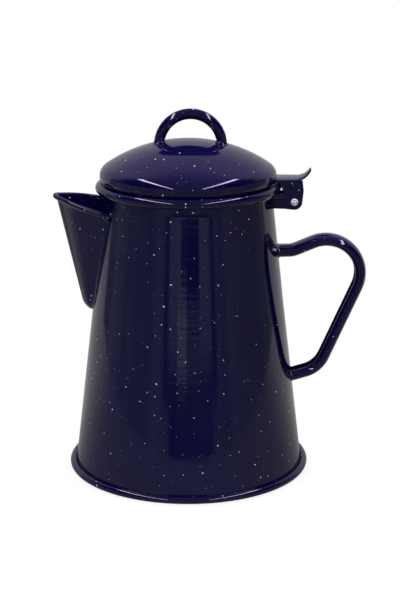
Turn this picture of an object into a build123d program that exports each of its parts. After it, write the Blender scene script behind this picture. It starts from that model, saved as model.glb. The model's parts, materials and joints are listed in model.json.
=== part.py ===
from build123d import *

import os
from math import atan2, cos, degrees, pi, radians, sin, sqrt, tan

# A hinged-lid enamelware coffee percolator. Millimetres, +Z up. The origin is on the floor
# under the middle of the pot, +X points at the handle and -X at the spout.

# ---------------------------------------------------------------- driving dimensions
# Enamelled steel sheet, enamel included, the gap left between curved touching pieces,
# and how far a cut or a trimmed end runs past the surface it meets
sheet = 1.0
seat_gap = 0.3
overrun = 4.0

# Pot body: a cone with a short straight neck
foot_r = 66.7
foot_bend = 2.5
neck_h = 9.9
neck_bend = 44.0

# Seam bead round the base, and the raised panel of the pan
base_bead_out = 4.3
base_bead = 4.3
base_curl_angle = 155.0
pan_recess = 1.6
pan_step = 5.0
pan_bend = 1.5

# Rolled rim of the mouth
rim_r = 53.4
rim_bead = 5.5
rim_top_z = 170.5
rim_curl_angle = 120.0

# Spout: a folded V with a rounded nose and foot, and a rolled lip that dips at the weld
spout_h = 66.1
spout_tip_drop = 6.7
spout_tip_out = 23.1
spout_fold_out = 5.6
spout_bottom_slope = 27.5
spout_bottom_bend = 4.5
spout_top_w = 24.0
spout_bottom_w = 7.0
spout_nose_r = 6.0
spout_foot_nose_r = 3.0
spout_bulge = 0.11
spout_rim_drop = 12.5
spout_dip = 60.0
spout_dip_in = 1.0
spout_dip_bend = 4.0
spout_trough_r = 6.0
spout_trough_flare = 25.0
spout_bead = 3.0
spout_bead_out = 1.9
nose_relief = 0.1

# Strainer holes in the wall behind the spout
strainer_hole_d = 3.4
strainer_pitch = 6.4
strainer_foot = 12.3
strainer_drop = 14.4
strainer_margin = 3.4

# Handle: a rolled oval strip with its seam on the finger side, bent in one plane
handle_w = 14.5
handle_t = 7.0
handle_seam = 1.6
handle_top_z = 129.9
handle_top_out = 8.0
handle_crown_z = 154.1
handle_crown_out = 68.9
handle_heel_z = 59.0
handle_heel_out = 16.6
handle_low_z = 50.5
handle_neck_bend = 15.0
handle_crown_bend = 20.0
handle_heel_bend = 17.0

# Lid: a crown, a tight shoulder and a turned-under edge with a locating lip
lid_inset = 2.5
lid_rise = 4.0
lid_shoulder = 6.9
lid_crown = 85.5
lid_turn = 25.0
lid_edge_bend = 0.8
lip_bend = 1.5
lip_clearance = 1.6
lip_depth = 3.0

# Loop on the lid
loop_rod = 6.1
loop_bend_r = 17.9
loop_x = 1.4
loop_rise = 17.9

# Lid hinge: bracket on the neck, leaf with a thumb tab on the lid, rivet through both
hinge_sheet = 1.2
hinge_reach = 7.5
hinge_drop = 10.4
ear_r = 4.5
ear_fall = 0.4
bracket_w = 12.8
hinge_side_gap = 0.2
hinge_running_gap = 0.05
rivet_d = 3.2
rivet_head_d = 4.7
rivet_head_t = 1.1
leaf_drop = 1.4
leaf_band_w = 16.8
leaf_band_h = 3.3
leaf_band_clear = 0.9
cheek_back = 6.6
cheek_heel = 6.1
cheek_heel_drop = 3.9
cheek_front = 5.2
cheek_bulge_z = 6.5
tab_start = 0.6
tab_bend_r = 10.0
tab_angle = 62.0
tab_tip_w = 6.0
tab_tip_bend = 2.0

# Percolator insert, thin aluminium
insert_sheet = 0.8
tube_d = 8.0
tube_bore = 6.8
tube_rise = 0.5
well_r = 29.0
well_rim_w = 3.0
well_rim_bend = 1.2
well_foot_bend = 2.5
well_neck_bend = 1.6
well_h = 15.0
well_collar_h = 7.0
well_notch_w = 6.0
well_notch_h = 2.2
well_notches = 6
stop_w = 3.2
stop_h = 3.0
stop_chamfer = 0.6
basket_drop = 64.5
basket_side_gap = 9.9
basket_h = 44.0
basket_bend = 5.0
basket_rim = 2.6
basket_rim_bend = 1.0
sleeve_gap = 0.3
sleeve_drop = 1.0
spreader_rise = 3.0
spreader_skirt = 4.0
spreader_skirt_gap = 0.8
spreader_skirt_bend = 1.4
spreader_collar_bend = 1.0
spreader_hole_gap = 0.6
hole_d = 3.0
hole_rings = (2, 3)
hole_spacing = 8.5

# ---------------------------------------------------------------- shared places
half = sheet / 2
rim_z = rim_top_z - rim_bead / 2
rim_centre_r = rim_r - rim_bead / 2
neck_r = rim_r - rim_bead + sheet
neck_bore = neck_r - sheet
neck_z = rim_top_z - neck_h
base_r = foot_r + base_bead_out
base_centre_r = base_r - base_bead / 2
wall_slope = (foot_r - neck_r) / neck_z
wall_lean = sqrt(1 + wall_slope**2)
flange_z = sheet * 1.5
lid_r = rim_r - lid_inset
lid_equator_z = rim_top_z + lid_rise
lid_corner_r = lid_r - lid_shoulder
lid_centre_z = lid_equator_z - sqrt((lid_crown - lid_shoulder) ** 2 - lid_corner_r**2)
lid_top_z = lid_centre_z + lid_crown
lid_flange_z = rim_top_z + seat_gap
pin_x = rim_r + hinge_reach
pin_z = rim_top_z - hinge_drop
leaf_top_z = lid_equator_z - leaf_drop
cheek_w = bracket_w + 2 * hinge_side_gap + 2 * hinge_sheet
floor_z = pan_recess + sheet
tube_top_z = rim_top_z + tube_rise
basket_z = rim_top_z - basket_drop
basket_r = neck_bore - basket_side_gap
sleeve_bore = tube_d + 2 * sleeve_gap
sleeve_d = sleeve_bore + 2 * insert_sheet


def wall_r(z):
    """Outer radius of the cone at a height."""
    return foot_r - wall_slope * z


spout_tip_x = -(rim_r + spout_tip_out)
spout_tip_z = rim_top_z - spout_tip_drop
spout_bottom_z = spout_tip_z - spout_h
spout_fold_x = -(wall_r(spout_bottom_z) + spout_fold_out)
strainer_low_z = spout_bottom_z + strainer_foot
strainer_high_z = spout_tip_z - strainer_drop


# ---------------------------------------------------------------- shared operations
def on_axis(face):
    """Sets a section drawn as (radius, height) up on the XZ plane and turns it round Z."""
    return revolve(Plane.XZ * face, Axis.Z)


def band(path, thickness):
    """Section of a sheet of one thickness that follows an open line, with rounded edges."""
    return make_face(Wire(path).offset_2d(thickness / 2).edges())


def right_of_axis(face, reach):
    """The part of a section on the positive side of the axis."""
    return face & (Pos(reach / 2, reach / 2) * Rectangle(reach, 2 * reach))


def side_plate(face, low_y, high_y):
    """Extrudes a section drawn as (x, z) from one y to another."""
    return Pos(0, high_y, 0) * extrude(Plane.XZ * face, high_y - low_y)


def polar(radius, angle, centre=(0, 0)):
    """Point at an angle in degrees on a circle."""
    turn = radians(angle)
    return (centre[0] + radius * cos(turn), centre[1] + radius * sin(turn))


def arc(centre, radius, start, end):
    """Arc of a circle from one angle to another in degrees, either way round."""
    middle = (start + end) / 2
    return ThreePointArc(
        polar(radius, start, centre), polar(radius, middle, centre), polar(radius, end, centre)
    )


# ---------------------------------------------------------------- pot
def wall_line():
    """Middle of the wall's sheet, from the flange in the base seam up to the rim."""
    foot_mid_r = foot_r - wall_slope * flange_z - half * wall_lean
    return FilletPolyline(
        (base_centre_r, flange_z),
        (foot_mid_r, flange_z),
        (neck_r - half, neck_z),
        (neck_r - half, rim_z),
        radius=[foot_bend, neck_bend],
    )


def wall_sheet():
    """Cone, neck and rolled rim in one sheet, flared at the foot into the base seam."""
    roll = arc((rim_centre_r, rim_z), (rim_bead - sheet) / 2, 180, -rim_curl_angle)
    return on_axis(band(wall_line().edges() + roll.edges(), sheet))


def welded_on(piece):
    """Cuts a piece to the outer surface of the wall it is welded on."""
    line = wall_line()
    rest = Polyline(line @ 1, (0, rim_z), (0, flange_z), line @ 0)
    core = on_axis(make_face(line.edges() + rest.edges()))
    return piece - core - wall_sheet()


def strainer_holes():
    """Staggered rows of holes through the wall inside the foot of the spout."""
    holes = []
    rows = int((strainer_high_z - strainer_low_z) / strainer_pitch) + 1
    for row in range(rows):
        z = strainer_low_z + row * strainer_pitch
        room = spout_half_width(z) - strainer_margin
        count = 2 * int(room / strainer_pitch) + 1
        if row % 2:
            count = 2 * int(room / strainer_pitch + 0.5)
        turn = degrees(strainer_pitch / wall_r(z))
        for i in range(count):
            angle = 180 + (i - (count - 1) / 2) * turn
            bore = Rot(0, 90, 0) * Cylinder(strainer_hole_d / 2, 2 * overrun)
            holes.append(Rot(0, 0, angle) * Pos(wall_r(z) - sheet, 0, z) * bore)
    return holes


def make_pot_shell():
    """The wall with its strainer holes."""
    return wall_sheet() - strainer_holes()


def make_base_pan():
    """Bottom pan with a raised panel and an edge rolled up over the foot of the wall."""
    roll = (base_bead - sheet) / 2
    centre = (base_centre_r, base_bead / 2)
    panel_r = foot_r - pan_step
    panel = FilletPolyline(
        (0, pan_recess + half),
        (panel_r, pan_recess + half),
        (panel_r + 2 * pan_recess, half),
        (base_centre_r, half),
        radius=pan_bend,
    )
    curl = arc(centre, roll, -90, base_curl_angle)
    section = right_of_axis(band(panel.edges() + curl.edges(), sheet), 2 * base_r)
    return on_axis(section)


# ---------------------------------------------------------------- spout
def spout_half_width(z):
    """Half the width over the spout's sides where they meet the wall."""
    share = (z - spout_bottom_z) / (spout_tip_z - spout_bottom_z)
    return spout_bottom_w + (spout_top_w - spout_bottom_w) * share


def spout_nose(z):
    """Outside of the fold line and the radius of the fold at a height."""
    share = (z - spout_bottom_z) / (spout_tip_z - spout_bottom_z)
    nose_x = spout_fold_x + (spout_tip_x - spout_fold_x) * share
    return nose_x, spout_foot_nose_r + (spout_nose_r - spout_foot_nose_r) * share


def mirrored(point):
    """The same place on the other side of the XZ plane."""
    return (point[0], -point[1])


def spout_section(z, inset):
    """Horizontal section of the V, drawn in from the outer surface by an inset."""
    nose_x, nose_r = spout_nose(z)
    nose_x += inset
    nose_r -= inset
    width = spout_half_width(z) - inset
    wall_x = -sqrt(wall_r(z) ** 2 - width**2)
    lean = atan2(width - nose_r, wall_x - nose_x - nose_r)
    start = (nose_x + nose_r - nose_r * sin(lean), nose_r * cos(lean))
    weld = (wall_x, width)
    end = (wall_x + overrun, width)
    bulge = spout_bulge * sqrt((weld[0] - start[0]) ** 2 + (weld[1] - start[1]) ** 2)
    middle = (
        (start[0] + weld[0]) / 2 - bulge * sin(lean),
        (start[1] + weld[1]) / 2 + bulge * cos(lean),
    )

    near = Line(end, weld).edges() + ThreePointArc(weld, middle, start).edges()
    nose = ThreePointArc(start, (nose_x, 0), mirrored(start)).edges()
    side = ThreePointArc(mirrored(start), mirrored(middle), mirrored(weld)).edges()
    far = side + Line(mirrored(weld), mirrored(end)).edges()
    back = Line(mirrored(end), end).edges()
    return Pos(0, 0, z) * make_face(near + nose + far + back)


def spout_wedge(inset):
    """V-shaped wedge inside one surface of the spout, longer than the spout at both ends."""
    low = spout_bottom_z - 2 * overrun
    high = spout_tip_z + 2 * overrun
    return loft([spout_section(low, inset), spout_section(high, inset)], ruled=True)


def spout_rim_line(left_x, lift):
    """Points of the slanted rim from the left to the axis, raised by a lift.

    The rim drops from the tip and dips more steeply where it is welded to the wall.
    """
    dip_x = -neck_r + spout_dip_in
    left_z = spout_tip_z + lift - (left_x - spout_tip_x) * tan(radians(spout_rim_drop))
    dip_z = spout_tip_z + lift - (dip_x - spout_tip_x) * tan(radians(spout_rim_drop))
    return [(left_x, left_z), (dip_x, dip_z), (0, dip_z + dip_x * tan(radians(spout_dip)))]


def spout_block(inset, lift):
    """Solid inside one surface of the spout, rounded off at the bottom and cut at the rim."""
    slope = tan(radians(spout_bottom_slope))
    bottom = spout_bottom_z + inset * sqrt(1 + slope**2)
    top_x = spout_nose(spout_tip_z + lift)[0] + inset - nose_relief
    corner_x = spout_nose(bottom)[0] + inset - nose_relief
    profile = FilletPolyline(
        *spout_rim_line(top_x, lift),
        (0, bottom + slope * corner_x),
        (corner_x, bottom),
        radius=[0, spout_dip_bend, 0, 0, spout_bottom_bend - inset],
        close=True,
    )
    block = spout_wedge(inset) & side_plate(make_face(profile), -base_r, base_r)
    return block & spout_trough(corner_x, bottom, inset)


def spout_trough(corner_x, bottom, inset):
    """Flared trough along the sloping bottom, which rounds the foot of the V off."""
    radius = spout_trough_r - inset
    top = spout_h + overrun
    half_width = radius + top * tan(radians(spout_trough_flare))
    keel = Pos(0, radius + nose_relief) * Circle(radius)
    section = make_hull(keel.edges() + Line((-half_width, top), (half_width, top)).edges())
    slope = radians(spout_bottom_slope)
    along = Plane(
        origin=(corner_x, 0, bottom), x_dir=(0, 1, 0), z_dir=(cos(slope), 0, -sin(slope))
    )
    return extrude(along * section, base_r, both=True)


def spout_lip():
    """Solid band along the rim, as thick as the rolled lip stands out."""
    left_x = spout_tip_x - overrun
    top = FilletPolyline(*spout_rim_line(left_x, 0), radius=spout_dip_bend)
    low = FilletPolyline(*spout_rim_line(left_x, -spout_bead), radius=spout_dip_bend)
    sides = Line(low @ 0, top @ 0).edges() + Line(low @ 1, top @ 1).edges()
    outline = make_face(top.edges() + low.edges() + sides)
    return spout_wedge(-spout_bead_out) & side_plate(outline, -base_r, base_r)


def make_spout():
    """Folded V with a rolled lip, cut to the wall it is welded on."""
    inside = spout_block(sheet, overrun)
    return welded_on(spout_block(0, 0) + spout_lip() - inside)


# ---------------------------------------------------------------- handle
def make_handle():
    """Rolled oval strip swept along the bent line and cut to the wall at both welds."""
    path = FilletPolyline(
        (neck_bore, 0, handle_top_z),
        (wall_r(handle_top_z) + handle_top_out, 0, handle_top_z),
        (wall_r(handle_crown_z) + handle_crown_out, 0, handle_crown_z),
        (wall_r(handle_heel_z) + handle_heel_out, 0, handle_heel_z),
        (neck_bore, 0, handle_low_z),
        radius=[handle_neck_bend, handle_crown_bend, handle_heel_bend],
    )
    inner = SlotOverall(handle_w - 2 * sheet, handle_t - 2 * sheet)
    seam = Pos(0, handle_t / 2) * Rectangle(handle_seam, 3 * sheet)
    section = SlotOverall(handle_w, handle_t) - inner - seam
    start = Plane(origin=(neck_bore, 0, handle_top_z), x_dir=(0, -1, 0), z_dir=(1, 0, 0))
    return welded_on(sweep(start * section, path=path.wire()))


# ---------------------------------------------------------------- lid
def lid_dome_section(inset):
    """Crown and shoulder arcs of the lid, drawn in from the outer surface by an inset."""
    join = degrees(atan2(lid_equator_z - lid_centre_z, lid_corner_r))
    crown = arc((0, lid_centre_z), lid_crown - inset, 90, join)
    shoulder = arc((lid_corner_r, lid_equator_z), lid_shoulder - inset, join, -lid_turn)
    return crown.edges() + shoulder.edges()


def make_lid_shell():
    """Domed lid whose edge turns in over the rim and down into a short locating lip."""
    corner = (lid_corner_r, lid_equator_z)
    edge_r, edge_z = polar(lid_shoulder - half, -lid_turn, corner)
    flange_mid_z = lid_flange_z + half
    turn_r = edge_r - (edge_z - flange_mid_z) * tan(radians(lid_turn))
    lip_mid_r = neck_bore - lip_clearance - half
    edge = FilletPolyline(
        (edge_r, edge_z),
        (turn_r, flange_mid_z),
        (lip_mid_r, flange_mid_z),
        (lip_mid_r, lid_flange_z - lip_depth + half),
        radius=[lid_edge_bend, lip_bend],
    )
    section = band(lid_dome_section(half) + edge.edges(), sheet)
    return on_axis(right_of_axis(section, 2 * lid_top_z))


def lid_envelope():
    """Everything inside the outer surface of the closed lid and straight below its edge."""
    edge_r, edge_z = polar(lid_shoulder, -lid_turn, (lid_corner_r, lid_equator_z))
    rest = Polyline((edge_r, edge_z), (edge_r, 0), (0, 0), (0, lid_top_z))
    return on_axis(make_face(lid_dome_section(0) + rest.edges()))


def make_lid_loop():
    """Round rod bent to a half ring and welded across the crown."""
    centre_z = lid_top_z + loop_rise - loop_rod / 2 - loop_bend_r
    ring = Pos(loop_x, 0, centre_z) * Rot(90, 0, 0) * Torus(loop_bend_r, loop_rod / 2)
    return ring - lid_envelope()


# ---------------------------------------------------------------- hinge
def pin_cylinder(radius, low_y, high_y):
    """Cylinder on the hinge axis from one y to another."""
    length = high_y - low_y
    return Pos(pin_x, (low_y + high_y) / 2, pin_z) * Rot(90, 0, 0) * Cylinder(radius, length)


def make_hinge_bracket():
    """Folded bracket with two ears, welded on the neck under the rim."""
    ear = make_hull(
        (Pos(pin_x, pin_z) * Circle(ear_r)).edges()
        + (Pos(neck_bore, pin_z) * Rectangle(sheet, 2 * (ear_r - ear_fall))).edges()
    )
    block = side_plate(ear, -bracket_w / 2, bracket_w / 2)
    inside_w = bracket_w - 2 * hinge_sheet
    web_x = neck_r + hinge_sheet
    reach = pin_x + 2 * ear_r - web_x
    slot = Pos(web_x + reach / 2, 0, pin_z) * Box(reach, inside_w, 2 * ear_r + overrun)
    hole = pin_cylinder(rivet_d / 2 + hinge_running_gap, -bracket_w, bracket_w)
    return welded_on(block - slot - hole)


def make_hinge_leaf():
    """Inverted channel on the lid: top plate, thumb tab, side bands and two cheeks."""
    plate_mid_z = leaf_top_z - hinge_sheet / 2
    tab_x = pin_x + tab_start
    run = Line((lid_corner_r, plate_mid_z), (tab_x, plate_mid_z))
    lift = arc((tab_x, plate_mid_z + tab_bend_r), tab_bend_r, -90, -90 + tab_angle)
    tongue = side_plate(
        band(run.edges() + lift.edges(), hinge_sheet), -leaf_band_w / 2, leaf_band_w / 2
    )
    tip_x = tab_x + tab_bend_r * sin(radians(tab_angle)) + hinge_sheet / 4
    inner_x = lid_corner_r - overrun
    plan = FilletPolyline(
        (inner_x, -leaf_band_w / 2),
        (tab_x, -leaf_band_w / 2),
        (tip_x, -tab_tip_w / 2),
        (tip_x, tab_tip_w / 2),
        (tab_x, leaf_band_w / 2),
        (inner_x, leaf_band_w / 2),
        radius=[0, 0, tab_tip_bend, tab_tip_bend, 0, 0],
        close=True,
    )
    tongue &= Pos(0, 0, rim_z) * extrude(make_face(plan), lid_top_z)

    heel = (pin_x - cheek_heel, pin_z - cheek_heel_drop)
    bulge = (pin_x + cheek_front, pin_z + cheek_bulge_z)
    edge = Polyline(
        heel, (pin_x - cheek_back, plate_mid_z), (pin_x + ear_r, plate_mid_z), bulge
    )
    cheek_outline = make_hull((Pos(pin_x, pin_z) * Circle(ear_r)).edges() + edge.edges())
    cheeks = side_plate(cheek_outline, -cheek_w / 2, cheek_w / 2)

    band_low_z = leaf_top_z - leaf_band_h
    clear_z = rim_top_z + leaf_band_clear
    band_front = pin_x + ear_r
    band_outline = Polyline(
        (lid_corner_r, plate_mid_z),
        (lid_corner_r, clear_z),
        (rim_r - leaf_band_clear, clear_z),
        (rim_r, band_low_z),
        (band_front, band_low_z),
        (band_front, plate_mid_z),
        close=True,
    )
    bands = side_plate(make_face(band_outline), -leaf_band_w / 2, leaf_band_w / 2)

    under_h = leaf_top_z - hinge_sheet
    gap_w = bracket_w + 2 * hinge_side_gap
    channel = Pos(pin_x, 0, under_h / 2) * Box(2 * lid_r, gap_w, under_h)
    leaf = tongue + bands + cheeks - channel
    return leaf - pin_cylinder(rivet_d / 2, -leaf_band_w, leaf_band_w) - lid_envelope()


def make_hinge_rivet():
    """Rivet through both cheeks and ears, headed on each side."""
    shank = pin_cylinder(rivet_d / 2, -cheek_w / 2, cheek_w / 2)
    heads = []
    for side in (-1, 1):
        foot, top = sorted((side * cheek_w / 2, side * (cheek_w / 2 + rivet_head_t)))
        head = pin_cylinder(rivet_head_d / 2, foot, top)
        rim = head.edges().filter_by(GeomType.CIRCLE).sort_by(Axis.Y)[-1 if side > 0 else 0]
        heads.append(fillet(rim, rivet_head_t / 2))
    return shank + heads


# ---------------------------------------------------------------- percolator insert
def ring_of_holes(z):
    """Rings of round holes through a level plate, evenly spread round the axis."""
    holes = []
    for ring in hole_rings:
        radius = ring * hole_spacing
        count = int(2 * pi * ring)
        for place in PolarLocations(radius, count):
            holes.append(Pos(0, 0, z) * place * Cylinder(hole_d / 2, overrun))
    return holes


def make_pump_tube():
    """Plain tube that carries the boiling water up through the basket."""
    low = floor_z + well_h
    tube = Cylinder(tube_d / 2, tube_top_z - low) - Cylinder(tube_bore / 2, tube_top_z)
    return Pos(0, 0, (low + tube_top_z) / 2) * tube


def make_pump_well():
    """Flared bell under the tube, notched at its rim to let the water in."""
    edge = insert_sheet / 2
    collar_r = tube_d / 2 + edge
    path = FilletPolyline(
        (well_r - edge, floor_z + edge),
        (well_r - well_rim_w, floor_z + edge),
        (well_r - 2 * well_rim_w, floor_z + well_notch_h + 2 * edge),
        (collar_r, floor_z + well_h - edge),
        (collar_r, floor_z + well_h + well_collar_h),
        radius=[well_rim_bend, well_foot_bend, well_neck_bend],
    )
    bell = on_axis(band(path, insert_sheet))
    notch = Pos(well_r, 0, floor_z) * Box(2 * well_rim_w + overrun, well_notch_w, 2 * well_notch_h)
    return bell - [Rot(0, 0, i * 360 / well_notches) * notch for i in range(well_notches)]


def make_basket_stop():
    """Ring crimped on the tube, which carries the basket."""
    ring = Cylinder(tube_d / 2 + stop_w, stop_h) - Cylinder(tube_d / 2, stop_h)
    ring = Pos(0, 0, basket_z - stop_h / 2) * ring
    edges = ring.edges().filter_by(GeomType.CIRCLE).sort_by(SortBy.RADIUS)[-2:]
    return chamfer(edges, stop_chamfer)


def make_basket_cup():
    """Drawn cup for the ground coffee, with a perforated bottom and a turned-out rim."""
    edge = insert_sheet / 2
    sleeve_r = sleeve_d / 2
    side_r = basket_r - edge
    path = FilletPolyline(
        (sleeve_r + edge, basket_z + edge),
        (side_r, basket_z + edge),
        (side_r, basket_z + basket_h - edge),
        (side_r + basket_rim, basket_z + basket_h - edge),
        radius=[basket_bend, basket_rim_bend],
    )
    section = band(path, insert_sheet)
    bore = Cylinder(sleeve_r, overrun)
    return on_axis(section) - Pos(0, 0, basket_z) * bore - ring_of_holes(basket_z + edge)


def make_basket_sleeve():
    """Tube in the middle of the basket, which slides on the pump tube."""
    height = basket_h - sleeve_drop
    tube = Cylinder(sleeve_d / 2, height) - Cylinder(sleeve_bore / 2, height)
    return Pos(0, 0, basket_z + height / 2) * tube


def make_spreader_plate():
    """Perforated cover on the basket's rim, dished in the middle, with a skirt round it."""
    edge = insert_sheet / 2
    rest_z = basket_z + basket_h
    skirt_r = basket_r + basket_rim + spreader_skirt_gap + edge
    hole_r = tube_d / 2 + spreader_hole_gap
    path = FilletPolyline(
        (hole_r + edge, rest_z + spreader_rise + edge),
        (hole_r + edge, rest_z + edge),
        (skirt_r, rest_z + edge),
        (skirt_r, rest_z - spreader_skirt),
        radius=[spreader_collar_bend, spreader_skirt_bend],
    )
    return on_axis(band(path, insert_sheet)) - ring_of_holes(rest_z + edge)


# ---------------------------------------------------------------- pieces
def export(name, shape):
    """Writes one named piece."""
    solids = shape.solids()
    piece = solids[0] if len(solids) == 1 else Compound(solids)
    piece.label = name
    export_step(piece, f"parts/{name}.step")


pieces = {
    "pot_shell": make_pot_shell,
    "base_pan": make_base_pan,
    "spout": make_spout,
    "handle": make_handle,
    "hinge_bracket": make_hinge_bracket,
    "lid_shell": make_lid_shell,
    "lid_loop": make_lid_loop,
    "hinge_leaf": make_hinge_leaf,
    "hinge_rivet": make_hinge_rivet,
    "pump_tube": make_pump_tube,
    "pump_well": make_pump_well,
    "basket_stop": make_basket_stop,
    "basket_cup": make_basket_cup,
    "basket_sleeve": make_basket_sleeve,
    "spreader_plate": make_spreader_plate,
}
os.makedirs("parts", exist_ok=True)
for name, make in pieces.items():
    export(name, make())
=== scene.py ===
"""Enamelware coffee percolator: fine shapes, finishes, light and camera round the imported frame.

The wall, pan, lid, spout, handle and hinge are enamelled steel sheet, and the insert is thin
aluminium. Each sub-assembly is a class that holds its sizes in millimetres and builds its pieces.
"""

import json
import logging
import math
from dataclasses import dataclass
from enum import Enum
from functools import cache
from typing import Iterable, Sequence

import bmesh
import bpy
from mathutils import Matrix, Vector


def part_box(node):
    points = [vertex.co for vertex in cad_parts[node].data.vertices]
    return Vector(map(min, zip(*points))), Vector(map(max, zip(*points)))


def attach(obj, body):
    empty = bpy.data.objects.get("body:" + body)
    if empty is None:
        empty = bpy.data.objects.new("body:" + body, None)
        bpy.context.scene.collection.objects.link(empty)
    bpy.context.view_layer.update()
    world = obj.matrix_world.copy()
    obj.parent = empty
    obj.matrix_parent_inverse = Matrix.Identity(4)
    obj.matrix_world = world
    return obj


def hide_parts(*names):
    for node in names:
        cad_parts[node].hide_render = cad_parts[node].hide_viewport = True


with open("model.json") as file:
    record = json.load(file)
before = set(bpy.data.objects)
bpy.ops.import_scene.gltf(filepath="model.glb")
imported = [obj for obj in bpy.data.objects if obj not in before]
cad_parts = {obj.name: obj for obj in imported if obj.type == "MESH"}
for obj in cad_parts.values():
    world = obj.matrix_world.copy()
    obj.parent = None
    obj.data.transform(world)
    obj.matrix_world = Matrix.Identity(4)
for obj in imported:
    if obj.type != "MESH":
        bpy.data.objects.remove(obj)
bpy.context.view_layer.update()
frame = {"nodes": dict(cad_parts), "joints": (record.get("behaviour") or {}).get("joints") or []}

log = logging.getLogger("percolator")

MM = 0.001
ROUND_STEPS = 240
BORE_STEPS = 24
JOIN_GAP = 1e-4
# A weld's fillet: heights of its rings as shares of its height, and its width as such a share.
WELD_RINGS = (1.0, 0.7, 0.45, 0.25, 0.1, 0.0)
WELD_SPREAD = 0.8
# Angles in degrees: which edges are shaded sharp, and which ones are rounded off.
CREASE = 35.0
ROUNDED_EDGE = 38.0
ROUNDED_CREASE = 50.0
Point = tuple[float, float]
Place = tuple[float, float, float]
Loop = list[Point]
Mesh = bmesh.types.BMesh
Piece = bpy.types.Object
Tree = bpy.types.NodeTree
Node = bpy.types.Node
Socket = bpy.types.NodeSocket


# --- places read from the frame
@cache
def box_of(node: str) -> tuple[Vector, Vector]:
    """Lowest and highest corner of a node's box at rest, in millimetres."""
    low_corner, high_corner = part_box(node)
    return low_corner / MM, high_corner / MM


def low(node: str) -> Vector:
    """Lowest corner of a node's box."""
    return box_of(node)[0]


def high(node: str) -> Vector:
    """Highest corner of a node's box."""
    return box_of(node)[1]


def hinge_pin() -> Point:
    """Place of the lid's hinge axis as (x, z) in millimetres."""
    joint = next(j for j in frame["joints"] if j["name"] == "lid_hinge")
    return joint["pos_m"][0] / MM, joint["pos_m"][2] / MM


# --- outlines
def polar(centre: Point, radius: float, degrees: float) -> Point:
    """Point at an angle on a circle."""
    turn = math.radians(degrees)
    return centre[0] + radius * math.cos(turn), centre[1] + radius * math.sin(turn)


def arc(centre: Point, radius: float, start: float, end: float, step: float = 6.0) -> Loop:
    """Points along an arc.

    Args:
        centre: Middle of the circle.
        radius: Its radius.
        start: First angle in degrees.
        end: Last angle in degrees, either way round.
        step: Largest angle between two points.

    Returns:
        The points, both ends included.
    """
    count = max(1, math.ceil(abs(end - start) / step))
    return [polar(centre, radius, start + (end - start) * i / count) for i in range(count + 1)]


def rounded(corners: Sequence[Point], radii: Sequence[float], step: float = 6.0) -> Loop:
    """Open line through corners, with the inner ones rounded by tangent arcs.

    Args:
        corners: The line's corners.
        radii: Bend radius of each inner corner.
        step: Largest angle between two points of an arc.

    Returns:
        The points of the rounded line.
    """
    line = [corners[0]]
    for before, at, after, radius in zip(corners, corners[1:], corners[2:], radii):
        a, p, b = Vector(before), Vector(at), Vector(after)
        into, out = (p - a).normalized(), (b - p).normalized()
        turn = into.angle_signed(out)
        start = p - into * radius * math.tan(abs(turn) / 2)
        side = -1 if turn > 0 else 1
        centre = start + Vector((-into.y, into.x)) * radius * side
        first = math.degrees(math.atan2(start.y - centre.y, start.x - centre.x))
        line += arc((centre.x, centre.y), radius, first, first - math.degrees(turn), step)
    return line + [corners[-1]]


def normals(line: Sequence[Point]) -> list[Vector]:
    """Unit normals on the left of a line, one for each of its points."""
    return [Vector((-way.y, way.x)) for way in directions(line)]


def directions(line: Sequence[Point]) -> list[Vector]:
    """Unit directions of a line at its points, each the mean of the steps beside it.

    Args:
        line: Two points or more.

    Returns:
        The directions, one for each point.
    """
    points = [Vector(p) for p in line]
    steps = [(b - a).normalized() for a, b in zip(points, points[1:])]
    return [(a + b).normalized() for a, b in zip([steps[0]] + steps, steps + [steps[-1]])]


def cleaned(line: Sequence[Point], least: float = 1e-3) -> Loop:
    """A line without points that repeat the one before.

    Args:
        line: Its points.
        least: Shortest step that is kept.

    Returns:
        The points that are kept.
    """
    kept = [line[0]]
    for point in line[1:]:
        if (Vector(point) - Vector(kept[-1])).length > least:
            kept.append(point)
    return kept


def sheet_outline(path: Sequence[Point], thickness: float, from_axis: bool = False) -> Loop:
    """Outline of a sheet that follows a line.

    Args:
        path: Middle of the sheet.
        thickness: Of the sheet.
        from_axis: True if the path starts on the axis of a turned shape, where it has no edge.

    Returns:
        The outline, open at the axis or else closed, with round edges.
    """
    line = cleaned(path)
    sides = normals(line)
    left = [tuple(Vector(p) + n * thickness / 2) for p, n in zip(line, sides)]
    right = [tuple(Vector(p) - n * thickness / 2) for p, n in zip(line, sides)]

    def round_end(at: Point, normal: Vector) -> Loop:
        """Half circle round an edge of the sheet, without its ends."""
        first = math.degrees(math.atan2(normal.y, normal.x))
        return arc(at, thickness / 2, first, first - 180, 30)[1:-1]

    outline = left + round_end(line[-1], sides[-1]) + right[::-1]
    if from_axis:
        outline[0] = (0.0, outline[0][1])
        outline[-1] = (0.0, outline[-1][1])
        return outline
    return outline + round_end(line[0], -sides[0])


def hull(points: Iterable[Point]) -> Loop:
    """Convex outline round points.

    Args:
        points: In any order.

    Returns:
        The outline, anticlockwise.
    """
    left = sorted(set(points))

    def chain(run: list[Point]) -> Loop:
        """One side of the hull, without its last point.

        Args:
            run: The points sorted along this side.

        Returns:
            Those that are corners.
        """
        kept: Loop = []
        for p in run:
            while len(kept) > 1:
                a, b = kept[-2], kept[-1]
                if (b[0] - a[0]) * (p[1] - a[1]) - (b[1] - a[1]) * (p[0] - a[0]) > 1e-9:
                    break
                kept.pop()
            kept.append(p)
        return kept[:-1]

    return chain(left) + chain(left[::-1])


def bent(start: Vector, corner: Vector, end: Vector, share: float) -> Vector:
    """Point at a share of the way along a curve whose two ends aim at a corner."""
    rest = 1 - share
    return start * rest**2 + corner * 2 * share * rest + end * share * share


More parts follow.
